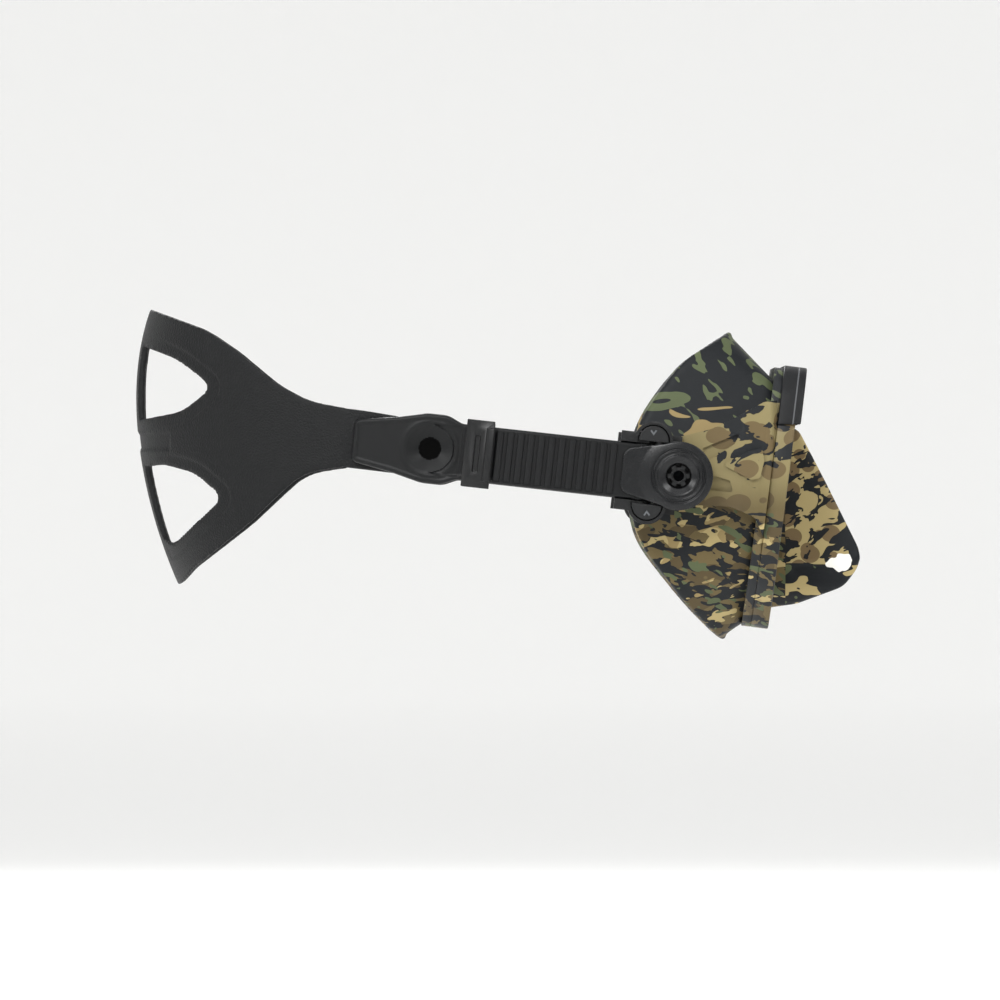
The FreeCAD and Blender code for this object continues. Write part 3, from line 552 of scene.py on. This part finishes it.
def hand_over(item, material, body, slot, *nodes, angle=38.0):
    """Gives a finished piece its material, shading, body and the nodes it stands for; the slot is
    not used.
    """
    item.data.materials.clear()
    item.data.materials.append(finish(material))
    item.data.polygons.foreach_set("material_index", [0] * len(item.data.polygons))
    item.data.shade_smooth()
    if angle:
        item.data.set_sharp_from_angle(angle=math.radians(angle))
    if nodes:
        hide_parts(*nodes)
    if body:
        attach(item, body)
    return item


def softened(name, node, width, segments=3):
    """A copy of a node with its moulded edges rounded."""
    item = add(name, cad_copy(name, node))
    bevel = item.modifiers.new("edges", "BEVEL")
    bevel.width, bevel.segments = width, segments
    bevel.limit_method, bevel.angle_limit = "ANGLE", math.radians(28)
    bevel.use_clamp_overlap = True
    bevel.harden_normals = True
    bevel.miter_outer = "MITER_ARC"
    item.data.shade_smooth()
    return settle(item)


def keep_node(node, material):
    """Gives a CAD node its finish."""
    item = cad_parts[node]
    item.data.materials.clear()
    item.data.materials.append(finish(material))


def remeshed(item, grid, rounds):
    """Rebuilds a solid on an even grid and smooths it."""
    remesh = item.modifiers.new("grid", "REMESH")
    remesh.mode, remesh.voxel_size = "VOXEL", grid
    remesh.use_smooth_shade = True
    smooth = item.modifiers.new("smooth", "SMOOTH")
    smooth.factor, smooth.iterations = 0.5, rounds
    return settle(item)


def moved(item, shift):
    """Moves a mesh's vertices by a function of their places and normals, in millimetres."""
    count = len(item.data.vertices)
    places, normals = np.empty(count * 3), np.empty(count * 3)
    item.data.vertices.foreach_get("co", places)
    item.data.vertices.foreach_get("normal", normals)
    places, normals = places.reshape(-1, 3) / MM, normals.reshape(-1, 3)
    item.data.vertices.foreach_set("co", ((places + shift(places, normals)) * MM).ravel())
    item.data.update()
    return item


def skin(rows, count, closed=False):
    """Quads between rows of places, each row a loop; closed joins the last row to the first."""
    faces = []
    for i in range(rows if closed else rows - 1):
        n = (i + 1) % rows
        for j in range(count):
            k = (j + 1) % count
            faces.append((i * count + j, i * count + k, n * count + k, n * count + j))
    return faces


def laid(item, place_of):
    """Rebuilds a plain mesh with each vertex where a function of its place puts it."""
    places = [place_of(vertex.co) for vertex in item.data.vertices]
    faces = [tuple(polygon.vertices) for polygon in item.data.polygons]
    item.data = mesh_of(item.name, places, faces)
    return item


def tube(rings):
    """Places and faces of a closed skin through rings of equal length, capped at both ends."""
    count = len(rings[0])
    faces = skin(len(rings), count)
    faces.append(tuple(range(count)))
    faces.append(tuple((len(rings) - 1) * count + j for j in range(count)))
    return [p for ring in rings for p in ring], faces


# ------------------------------------------------------------------ repeated details
def group(name, sizes):
    """A geometry node group with named number inputs and the inputs' identifiers."""
    tree = bpy.data.node_groups.new(name, "GeometryNodeTree")
    face = tree.interface
    face.new_socket("Geometry", in_out="OUTPUT", socket_type="NodeSocketGeometry")
    names = {}
    for label, kind in sizes.items():
        names[label] = face.new_socket(label, in_out="INPUT", socket_type=kind).identifier
    build = Tree(tree)
    given = tree.nodes.new("NodeGroupInput")
    values = {label: Link(build, given.outputs[label]) for label in sizes}
    return build, values, names


def repeated(name, build, shape, names, settings, material):
    """Ends a group in one plain mesh and returns it as an object."""
    real = build.node("GeometryNodeRealizeInstances", {}, {0: shape})
    painted = build.node("GeometryNodeSetMaterial", {}, {0: real, "Material": finish(material)})
    build.node("NodeGroupOutput", {}, {0: painted})
    item = add(name, bpy.data.meshes.new(name))
    modifier = item.modifiers.new("detail", "NODES")
    modifier.node_group = build.tree
    for label, value in settings.items():
        modifier[names[label]] = value
    return settle(item)


def rib_row(name):
    """A row of rounded bars along Y, each lying along Z, standing up along X."""
    build, values, names = group("strap_ribs", {
        "Count": "NodeSocketInt", "Pitch": "NodeSocketFloat", "Width": "NodeSocketFloat",
        "Height": "NodeSocketFloat", "Length": "NodeSocketFloat"})
    bar = build.node("GeometryNodeCurvePrimitiveQuadrilateral", {},
                     {"Width": values["Height"], "Height": values["Width"]})
    bar = build.node("GeometryNodeFilletCurve", {"mode": "POLY"},
                     {0: bar, "Count": 4, "Radius": values["Height"] * 0.32})
    end = build.node("ShaderNodeCombineXYZ", {}, {2: values["Length"]})
    rail = build.node("GeometryNodeCurvePrimitiveLine", {}, {"Start": (0, 0, 0), "End": end})
    solid = build.node("GeometryNodeCurveToMesh", {}, {0: rail, 1: bar, "Fill Caps": True})
    pitch = build.node("ShaderNodeCombineXYZ", {}, {1: values["Pitch"]})
    row = build.node("GeometryNodeMeshLine", {}, {"Count": values["Count"], "Offset": pitch})
    shape = build.node("GeometryNodeInstanceOnPoints", {}, {"Points": row, "Instance": solid})
    return repeated(name, build, shape, names, {
        "Count": size("rib_count"), "Pitch": size("rib_pitch"), "Width": size("rib_width"),
        "Height": 1.2 * MM, "Length": 16.6 * MM}, "tail_rubber")


def finger_ring(name):
    """A ring of snap fingers round the Z axis."""
    build, values, names = group("pin_fingers", {
        "Count": "NodeSocketInt", "Radius": "NodeSocketFloat", "Width": "NodeSocketFloat",
        "Height": "NodeSocketFloat"})
    outline = build.node("GeometryNodeCurvePrimitiveQuadrilateral", {},
                         {"Width": values["Width"] * 0.8, "Height": values["Width"]})
    outline = build.node("GeometryNodeFilletCurve", {"mode": "POLY"},
                         {0: outline, "Count": 4, "Radius": values["Width"] * 0.25})
    end = build.node("ShaderNodeCombineXYZ", {}, {2: values["Height"]})
    rail = build.node("GeometryNodeCurvePrimitiveLine", {}, {"Start": (0, 0, 0), "End": end})
    finger = build.node("GeometryNodeCurveToMesh", {}, {0: rail, 1: outline, "Fill Caps": True})
    spots = build.node("GeometryNodeMeshCircle", {},
                       {"Vertices": values["Count"], "Radius": values["Radius"]})
    index = build.node("GeometryNodeInputIndex", {}, {})
    spin = build.node("ShaderNodeCombineXYZ", {},
                      {2: index * math.tau / values["Count"]})
    shape = build.node("GeometryNodeInstanceOnPoints", {},
                       {"Points": spots, "Instance": finger, "Rotation": spin})
    return repeated(name, build, shape, names, {
        "Count": size("fingers"), "Radius": 3.05 * MM, "Width": 1.55 * MM,
        "Height": 1.5 * MM}, "nylon")


# ------------------------------------------------------------------ pieces
def skirt():
    """The face skirt: its solid with a rolled edge and a thin inner lip, as one soft body."""
    base = cad_copy("face_skirt_soft", "face_skirt")
    places = np.array([v.co[:] for v in base.vertices]) / MM
    seal = rounded(SEAL, closed=False)
    rim = places[(away(places[:, 1:], seal) < 0.25) & (np.abs(places[:, 0]) < 90)]
    centre = np.array([0.0, -6.0])
    angles = np.arctan2(rim[:, 2] - centre[1], rim[:, 0] - centre[0])
    order = np.argsort(angles)
    angles, rim = angles[order], rim[order]
    turns = np.linspace(-math.pi, math.pi, 181)[:-1]
    ring = np.stack([np.interp(turns, angles, rim[:, i], period=math.tau) for i in range(3)], 1)
    for _ in range(6):
        ring = 0.5 * ring + 0.25 * (np.roll(ring, 1, 0) + np.roll(ring, -1, 0))
    along = np.roll(ring, -1, 0) - np.roll(ring, 1, 0)
    along /= np.linalg.norm(along, axis=1)[:, None]
    inward = np.stack([-ring[:, 0], np.zeros(len(ring)), centre[1] - ring[:, 2]], 1)
    inward -= (inward * along).sum(1)[:, None] * along
    inward[:, 1] = 0
    inward /= np.linalg.norm(inward, axis=1)[:, None]
    back = np.array([0.0, 1.0, 0.0])
    width = size("lip") / MM
    shapes = [add("skirt_base", base)]
    layout = [(-0.5, -1.2, 1.0), (0.6, -0.2, 1.1), (3.0, 0.3, 0.85), (6.5, -0.7, 0.8),
              (9.5, -2.8, 0.75), (width, -4.4, 0.7)]
    near = [ring + inward * a + back * (b + t) for a, b, t in layout]
    far = [ring + inward * a + back * (b - t) for a, b, t in reversed(layout)]
    loops = [np.array(line) for line in near + far]
    points = [tuple(p * MM) for loop in loops for p in loop]
    faces = skin(len(loops), len(ring), closed=True)
    shapes.append(add("skirt_lip", mesh_of("skirt_lip", points, faces)))
    item = remeshed(joined("face_skirt_soft", shapes), size("skirt_grid"), 5)

    def crease(p, n):
        line = -31.0 - 0.02 * (p[:, 1] + 45)
        pocket = step((-37.5 - p[:, 1]) / 3) * step((np.abs(p[:, 0]) - 3) / 3)
        fold = np.exp(-((p[:, 2] - line) / 0.9) ** 2) * pocket
        outer = step(n[:, 0] * np.sign(p[:, 0]) * 3)
        ridge = np.exp(-((p[:, 2] - line - 3.0) / 1.6) ** 2) * pocket
        return n * ((ridge * 0.35 - fold * 0.75) * outer)[:, None]

    moved(item, crease)
    hand_over(item, "skirt_camo", "mask", "skirt", "face_skirt", angle=None)


def front_frame():
    """The main frame, the front bezel and the brow cover."""
    hand_over(softened("main_frame_shell", "main_frame", 0.4 * MM), "frame_camo", "mask",
              "frame", "main_frame")
    hand_over(softened("front_bezel_band", "front_bezel", 0.45 * MM), "frame_camo", "mask",
              "frame", "front_bezel")
    hand_over(softened("brow_cover_cap", "brow_cover", 0.8 * MM, 4), "brow_satin", "mask",
              "brow", "brow_cover")


def lenses():
    """The two flat lenses."""
    for side, _ in SIDES:
        item = softened(f"{side}_lens_glass", f"{side}_lens", 0.3 * MM, 2)
        hand_over(item, "lens_glass", "mask", "lens", f"{side}_lens")


def buckles():
    """The buckle bases and their covers."""
    for side, _ in SIDES:
        body = f"buckle_{side}"
        hand_over(softened(f"buckle_base_shell_{side}", f"buckle_base_{side}", 0.28 * MM),
                  "nylon", body, "buckle", f"buckle_base_{side}")
        node = f"buckle_cover_{side}"
        cover = add(f"buckle_cover_shell_{side}", cad_copy(node, node))
        cover = moved(remeshed(cover, size("buckle_grid"), 3), cover_dome)
        hand_over(cover, "cover_nylon", body, "cover", node, angle=None)


def cover_dome(places, normals):
    """Crowns a cover: its face falls away from the hub towards its edge."""
    run = np.clip(np.hypot(places[:, 1], places[:, 2]) - 6.6, 0, 14) / 5.0
    face = step((np.abs(places[:, 0]) - HUB_FACE) / 0.8)
    fall = -0.85 * np.minimum(run, 1.35) ** 2 / 1.35 ** 2 * face
    return np.stack([np.sign(places[:, 0]) * fall, 0 * fall, 0 * fall], 1)


def pins():
    """The swivel pins with their snap fingers, and the washers."""
    for side, sign in SIDES:
        hand_over(softened(f"swivel_pin_body_{side}", f"swivel_pin_{side}", 0.2 * MM), "nylon",
                  "mask", "pin", f"swivel_pin_{side}")
        crown = laid(finger_ring(f"pin_fingers_{side}"),
                     lambda p: (sign * (82.2 * MM + p.z), p.x, p.y))
        hand_over(crown, "nylon", "mask", "pin", angle=50)
        keep_node(f"swivel_washer_{side}", "acetal")


def buttons():
    """The release buttons, each with an arrow on its cap, and their coil springs."""
    for side, sign in SIDES:
        for word, way in (("upper", 1.0), ("lower", -1.0)):
            node = f"release_button_{word}_{side}"
            body = f"button_{word}_{side}"
            item = remeshed(add(f"{node}_cap", cad_copy(node, node)), size("buckle_grid"), 4)
            moved(item, lambda p, n: -CAP_GAP * n)
            hand_over(item, "cap_nylon", body, "button", node, angle=None)
            low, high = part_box(node)
            top = max(abs(low.x), abs(high.x)) / MM
            arrow = [(0.0, -1.2), (1.15, 0.35), (0.75, 0.7), (0.0, -0.35), (-0.75, 0.7),
                     (-1.15, 0.35)]
            centre = [(low.y + high.y) / 2 / MM, (low.z + high.z) / 2 / MM]
            rings = []
            for x, grow in ((top - 0.2, 1.0), (top + 0.12, 1.0), (top + 0.2, 0.86)):
                rings.append([(sign * x * MM, (centre[0] + a * grow) * MM,
                               (centre[1] + way * (b * grow + 0.9)) * MM) for a, b in arrow])
            mark = add(f"button_arrow_{word}_{side}", mesh_of("arrow", *tube(rings)))
            hand_over(mark, "arrow_ink", body, "button", angle=20)
            spring(side, word)


def spring(side, word):
    """A coil spring in the room of its node, held by its buckle."""
    node = f"button_spring_{word}_{side}"
    low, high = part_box(node)
    middle = (low + high) / 2
    axis = Vector((0, -math.sin(STRAP_RISE), math.cos(STRAP_RISE)))
    across = Vector((0, math.cos(STRAP_RISE), math.sin(STRAP_RISE)))
    wire, turns = 0.2 * MM, 5
    radius = (high.x - low.x) / 2 - wire
    length = (high.z - low.z) * 0.8
    curve = bpy.data.curves.new(node + "_coil", "CURVE")
    curve.dimensions = "3D"
    curve.bevel_depth, curve.bevel_resolution = wire, 3
    curve.use_fill_caps = True
    line = curve.splines.new("POLY")
    count = turns * 24
    line.points.add(count)
    for i in range(count + 1):
        turn = math.tau * turns * i / count
        place = (middle + Vector((math.cos(turn), 0, 0)) * radius
                 + across * (math.sin(turn) * radius) + axis * (length * (i / count - 0.5)))
        line.points[i].co = (*place, 1.0)
    item = add(node + "_line", curve)
    mesh = plain_mesh(item)
    bpy.data.objects.remove(item)
    coil = add(node + "_coil", mesh)
    hand_over(coil, "steel", f"buckle_{side}", "steel", node, angle=60)
    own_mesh(coil)


def rollers():
    """The strap rollers, ratchet wheels and axles."""
    for side, _ in SIDES:
        body = f"roller_{side}"
        hand_over(softened(f"strap_roller_bar_{side}", f"strap_roller_{side}", 0.15 * MM, 2),
                  "acetal", body, "roller", f"strap_roller_{side}")
        hand_over(softened(f"ratchet_wheels_pair_{side}", f"ratchet_wheels_{side}", 0.1 * MM, 2),
                  "acetal", body, "roller", f"ratchet_wheels_{side}")
        keep_node(f"roller_axle_{side}", "steel")


def bow(start, end, rise):
    """A place along an arc in the strap's plan, for t from 0 to 1."""
    start, end = np.array(start, float), np.array(end, float)

    def at(t):
        place = start + (end - start) * t
        place[0] += rise * 4 * t * (1 - t)
        return place
    return at


def strap_section(middle, outward, half, thick, corner):
    """A rounded flat section of a strap, as places (x, u, v)."""
    shape = rounded([(-half, -thick / 2, corner), (half, -thick / 2, corner),
                     (half, thick / 2, corner), (-half, thick / 2, corner)], steps=4)
    return [(middle[0] + outward[0] * b, middle[1] + outward[1] * b, a) for a, b in shape]


def stretched(item):
    """Bakes a band's transform into its mesh; the start and end of the stretch are worked out but
    not used.
    """
    start = Vector(on_strap(0, 0, STRETCH_START, 0))
    end = Vector(on_strap(0, 0, STRETCH_END, 0))
    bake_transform(item)


def side_straps():
    """The silicone side straps, from the headband round the rollers."""
    line = bow((75.7, 14.0), (77.3, 112.0), 3.7)
    path = [line(t) for t in np.linspace(1.013, 0, 50)]
    for turn in np.linspace(0, math.pi, 19)[1:]:
        path.append(np.array([ROLLER[0] - WRAP_RADIUS * math.cos(turn),
                              ROLLER[1] - WRAP_RADIUS * math.sin(turn)]))
    for side, sign in SIDES:
        rings = []
        for i, middle in enumerate(path):
            run = path[min(i + 1, len(path) - 1)] - path[max(i - 1, 0)]
            run = run / np.linalg.norm(run)
            section = strap_section(middle, (-run[1], run[0]), STRAP_HALF, STRAP_THICK, 0.6)
            flare = float(step((middle[1] - 90) / 22)) if middle[0] < ROLLER[0] else 0.0
            rings.append([on_strap(sign, x + flare * (0.034 * v + 0.12 * (x - middle[0])), u,
                                   v * (1 + 0.035 * flare) + 0.52 * flare)
                          for x, u, v in section])
        item = add(f"side_strap_band_{side}", mesh_of("side_strap", *tube(rings)))
        hand_over(item, "band_rubber", None, "band", f"side_strap_{side}", angle=50)
        stretched(item)


TAIL_SIDE = [(14, 9.5, 1), (74.3, 9.5, 4), (79.3, 11.8, 8), (86.3, 11.8, 9), (96.3, 9.44, 30),
             (110.5, 7.1, 3), (110.5, 0, 1)]


def tail_half(u):
    """Half the width of the strap tail at a distance along it."""
    side = rounded(TAIL_SIDE, closed=False)
    keep = side[:, 0] < 110.49
    return float(np.interp(u, side[keep, 0], side[keep, 1]))


def tail_height(u, v, half):
    """Thickness of the strap tail, from its edges, step, dimple and recess."""
    body = STRAP_THICK + 0.75 * step((u - TAB_START) / 0.8)
    edge = np.clip((half - abs(v)) / 0.9, 0, 1)
    end = np.clip((TAIL_END - u) / 0.9, 0, 1)
    round_off = math.sqrt(max(0.0, 1 - (1 - edge) ** 2)) * math.sqrt(max(0.0, 1 - (1 - end) ** 2))
    height = body * (0.45 + 0.55 * round_off)
    if u > 62:
        border = step((half - 1.5 - abs(v)) / 0.5) * step((109.0 - u) / 0.5)
        height -= 0.22 * border
        away_from = math.hypot(u - DIMPLE, v)
        bowl = 0.25 + 2.5 * min(1.0, max(0.0, (away_from - DIMPLE_FLOOR) / 4.7)) ** 0.9
        lip = 0.22 * math.exp(-((away_from - 9.2) / 0.8) ** 2)
        height = min(height + lip, bowl) if away_from < DIMPLE_RIM else height + lip
        shelf = step((84.0 - u) / 0.6) * step((8.6 - abs(v)) / 0.6) * step((u - 73.6) / 0.6)
        if away_from > 8.0:
            height -= 0.5 * shelf
    return height


def strap_tails():
    """The ribbed strap tails with their thumb tabs."""
    line = bow((81.3, TAIL_START), (79.3, TAIL_END), 1.8)
    along = np.concatenate([np.linspace(TAIL_START, 62, 60), np.linspace(62.3, TAIL_END, 150)])
    across = np.concatenate([[-1], np.linspace(-0.985, 0.985, 61), [1]])

    def base_at(u):
        return line((u - TAIL_START) / (TAIL_END - TAIL_START))[0]

    for side, sign in SIDES:
        rings = []
        for u in along:
            half = tail_half(min(u, 110.4))
            base = base_at(u)
            top = [(base + tail_height(u, t * half, half), u, t * half) for t in across]
            low = [(base + (0.35 if abs(t) == 1 else 0.0), u, t * half) for t in across[::-1]]
            rings.append([on_strap(sign, *place) for place in top + low])
        body = add("tail_body", mesh_of("tail_body", *tube(rings)))

        def on_tail(place):
            x, y, z = place / MM
            u = FIRST_RIB + y
            return on_strap(sign, base_at(u) + 2.15 + x, u, z - 8.3)

        ribs = laid(rib_row("tail_ribs"), on_tail)
        item = joined(f"strap_tail_band_{side}", [body, ribs])
        hand_over(item, "tail_rubber", None, "strap", f"strap_tail_{side}", angle=40)
        # Painted shade: faces round the dimple's middle get the near-black finish, for the dark
        # inside of the hole there.
        item.data.materials.append(finish("deep_black"))
        hole = Vector(on_strap(sign, 81.0, DIMPLE, 0.0))
        for face in item.data.polygons:
            if (Vector(face.center) - hole).yz.length < 3.8 * MM:
                face.material_index = 1
        stretched(item)


def keepers():
    """The slotted loops that hold the tails."""
    for side, _ in SIDES:
        item = softened(f"strap_keeper_loop_{side}", f"strap_keeper_{side}", 0.4 * MM)
        hand_over(item, "nylon", f"keeper_{side}", "keeper", f"strap_keeper_{side}")


def headband():
    """The wide rear band: borders inside its windows and a blank panel on its middle arm."""
    item = add("headband_soft", cad_copy("headband_soft", "headband"))
    item = remeshed(item, size("band_grid"), 4)
    edges = [rounded(w, closed=False) for w in WINDOWS]

    def shape(p, n):
        outward = np.stack([p[:, 0], p[:, 1] - HEAD_MIDDLE], 1)
        outward /= np.linalg.norm(outward, axis=1)[:, None]
        outer = step((n[:, 0] * outward[:, 0] + n[:, 1] * outward[:, 1]) * 3 - 0.5)
        sunk = np.zeros(len(p))
        for line, front in zip(edges, (170.0, 167.0)):
            near = away(p[:, 1:], line)
            forward = step((front + 12 - p[:, 1]) / 14)
            sunk = np.maximum(sunk, step((4.8 - near) / 1.6) * forward)
        sunk *= step((np.abs(p[:, 0]) - 11.5) / 3)
        panel = step((3.1 - np.abs(p[:, 2] - PANEL_HEIGHT)) / 0.5)
        panel = panel * step((p[:, 1] - 172) / 0.8)
        depth = 0.75 * sunk + 0.6 * panel
        return np.stack([-outward[:, 0], -outward[:, 1], np.zeros(len(p))], 1) * (
            depth * outer)[:, None]

    moved(item, shape)
    hand_over(item, "band_rubber", "headband", "band", "headband", angle=None)


def stage():
    """A pale floor that turns up into a backdrop, soft lights and the camera."""
    rings = []
    floor_height, flat, sweep, count = -0.154, 6.5, 3.0, 96
    profile = [(r, floor_height) for r in (0.2, 0.5, 1.0, 2.0, 4.0, flat)]
    for turn in np.linspace(0, math.pi / 2, 13)[1:]:
        profile.append((flat + sweep * math.sin(turn),
                        floor_height + sweep * (1 - math.cos(turn))))
    profile.append((flat + sweep, 7.0))
    for r, z in profile:
        rings.append([(r * math.cos(a), r * math.sin(a), z)
                      for a in np.linspace(0, math.tau, count, endpoint=False)])
    places = [p for ring in rings for p in ring] + [(0, 0, floor_height)]
    faces = skin(len(rings), count)
    for j in range(count):
        faces.append((len(places) - 1, (j + 1) % count, j))
    mesh = bpy.data.meshes.new("floor")
    mesh.from_pydata(places, [], faces)
    floor = add("studio_floor", mesh)
    mesh.shade_smooth()
    f = Finish("floor_paper", Roughness=0.9, Emission_Strength=0.1,
               Emission_Color=(1.0, 1.0, 1.0, 1.0))
    mottle = f.noise(f.stretched((220, 220, 220)), 1.0, 2.0)
    white = colour("floor")
    mesh.materials.append(f.done(mottle, 0.2, Base_Color=f.mix(
        mottle * 0.1, white, tuple(c * 0.97 for c in white))))

    world = bpy.data.worlds.new("studio")
    bpy.context.scene.world = world
    world.use_nodes = True
    sky = world.node_tree.nodes["Background"]
    sky.inputs["Color"].default_value = (1.0, 1.0, 1.0, 1.0)
    sky.inputs["Strength"].default_value = 0.46

    for name, kind, place, spread, strength in (
            ("sky_light", "SUN", (-0.3, 0.1, 1.0), 60.0, 0.8),
            ("front_light", "SUN", (-1.0, -0.25, 0.4), 50.0, 0.12),
            ("key_softbox", "AREA", (-0.76, 0.22, 0.42), 0.24, 3.6),
            ("brow_softbox", "AREA", (-0.45, -0.45, 0.45), 0.25, 1.6),
            ("rear_softbox", "AREA", (-0.35, 0.62, 0.35), 0.25, 1.6),
            ("far_softbox", "AREA", (0.6, 0.2, 0.5), 0.3, 2.4)):
        lamp = bpy.data.lights.new(name, kind)
        lamp.energy = strength
        if kind == "SUN":
            lamp.angle = math.radians(spread)
        else:
            lamp.size = spread
        holder = bpy.data.objects.new(name, lamp)
        bpy.context.scene.collection.objects.link(holder)
        holder.location = place
        aim = Vector((-0.07, 0.05, 0)) - Vector(place)
        holder.rotation_euler = aim.to_track_quat("-Z", "Y").to_euler()

    lens = bpy.data.cameras.new("camera")
    lens.lens, lens.sensor_width = 600.0, 36.0
    lens.clip_start, lens.clip_end = 0.05, 60.0
    camera = bpy.data.objects.new("camera", lens)
    bpy.context.scene.collection.objects.link(camera)
    seen_width, near_side = 0.337, -0.08
    camera.location = (near_side - seen_width * lens.lens / lens.sensor_width,
                       0.060155, -0.00809)
    camera.rotation_euler = (math.radians(90), 0, math.radians(-90))
    bpy.context.scene.camera = camera
    bpy.context.scene.view_settings.view_transform = "Standard"


# ------------------------------------------------------------------ operators
class DIVING_MASK_OT_skirt(bpy.types.Operator):
    """Builds the camouflage skirt with its sealing lip"""
    bl_idname = "diving_mask.skirt"
    bl_label = "Face Skirt"

    def execute(self, context):
        skirt()
        return {"FINISHED"}


class DIVING_MASK_OT_front_frame(bpy.types.Operator):
    """Builds the frame, bezel and brow cover"""
    bl_idname = "diving_mask.front_frame"
    bl_label = "Front Frame"

    def execute(self, context):
        front_frame()
        return {"FINISHED"}


class DIVING_MASK_OT_lenses(bpy.types.Operator):
    """Builds the two glass lenses"""
    bl_idname = "diving_mask.lenses"
    bl_label = "Lenses"

    def execute(self, context):
        lenses()
        return {"FINISHED"}


class DIVING_MASK_OT_buckles(bpy.types.Operator):
    """Builds the buckle bases and covers"""
    bl_idname = "diving_mask.buckles"
    bl_label = "Buckles"

    def execute(self, context):
        buckles()
        return {"FINISHED"}


class DIVING_MASK_OT_pins(bpy.types.Operator):
    """Builds the swivel pins and their fingers"""
    bl_idname = "diving_mask.pins"
    bl_label = "Swivel Pins"

    def execute(self, context):
        pins()
        return {"FINISHED"}


class DIVING_MASK_OT_buttons(bpy.types.Operator):
    """Builds the buttons, arrows and springs"""
    bl_idname = "diving_mask.buttons"
    bl_label = "Release Buttons"

    def execute(self, context):
        buttons()
        return {"FINISHED"}


class DIVING_MASK_OT_rollers(bpy.types.Operator):
    """Builds the rollers, wheels and axles"""
    bl_idname = "diving_mask.rollers"
    bl_label = "Strap Rollers"

    def execute(self, context):
        rollers()
        return {"FINISHED"}


class DIVING_MASK_OT_side_straps(bpy.types.Operator):
    """Builds the stretching side straps"""
    bl_idname = "diving_mask.side_straps"
    bl_label = "Side Straps"

    def execute(self, context):
        side_straps()
        return {"FINISHED"}


class DIVING_MASK_OT_strap_tails(bpy.types.Operator):
    """Builds the ribbed tails and tabs"""
    bl_idname = "diving_mask.strap_tails"
    bl_label = "Strap Tails"

    def execute(self, context):
        strap_tails()
        return {"FINISHED"}


class DIVING_MASK_OT_keepers(bpy.types.Operator):
    """Builds the strap keepers"""
    bl_idname = "diving_mask.keepers"
    bl_label = "Keepers"

    def execute(self, context):
        keepers()
        return {"FINISHED"}


class DIVING_MASK_OT_headband(bpy.types.Operator):
    """Builds the wide rear headband"""
    bl_idname = "diving_mask.headband"
    bl_label = "Headband"

    def execute(self, context):
        headband()
        return {"FINISHED"}


class DIVING_MASK_OT_stage(bpy.types.Operator):
    """Builds the floor, lights and camera"""
    bl_idname = "diving_mask.stage"
    bl_label = "Studio"

    def execute(self, context):
        stage()
        return {"FINISHED"}


OPERATORS = (
    DIVING_MASK_OT_skirt, DIVING_MASK_OT_front_frame, DIVING_MASK_OT_lenses,
    DIVING_MASK_OT_buckles, DIVING_MASK_OT_pins, DIVING_MASK_OT_buttons,
    DIVING_MASK_OT_rollers, DIVING_MASK_OT_side_straps, DIVING_MASK_OT_strap_tails,
    DIVING_MASK_OT_keepers, DIVING_MASK_OT_headband, DIVING_MASK_OT_stage,
)


class DIVING_MASK_PT_pieces(bpy.types.Panel):
    """Lists the pieces of the mask."""
    bl_label = "Diving Mask"
    bl_idname = "DIVING_MASK_PT_pieces"
    bl_space_type = "VIEW_3D"
    bl_region_type = "UI"
    bl_category = "Diving Mask"

    def draw(self, context):
        for item in OPERATORS:
            self.layout.operator(item.bl_idname)
        for group_name in ("mask_sizes", "mask_colours"):
            values = getattr(context.scene, group_name)
            for name in values.__annotations__:
                self.layout.prop(values, name)


CLASSES = [MaskColours, MaskSizes, *OPERATORS, DIVING_MASK_PT_pieces]


def register():
    for item in CLASSES:
        bpy.utils.register_class(item)
    bpy.types.Scene.mask_colours = PointerProperty(type=MaskColours)
    bpy.types.Scene.mask_sizes = PointerProperty(type=MaskSizes)


def unregister():
    del bpy.types.Scene.mask_sizes
    del bpy.types.Scene.mask_colours
    for item in reversed(CLASSES):
        bpy.utils.unregister_class(item)


def corners(box):
    """A box's two corners as plain lists."""
    return [list(corner) for corner in box]


def main():
    """Builds every piece in order."""
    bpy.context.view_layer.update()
    register()
    for item in OPERATORS:
        word = item.bl_idname.split(".")[1]
        getattr(bpy.ops.diving_mask, word)()


if __name__ == "__main__":
    main()
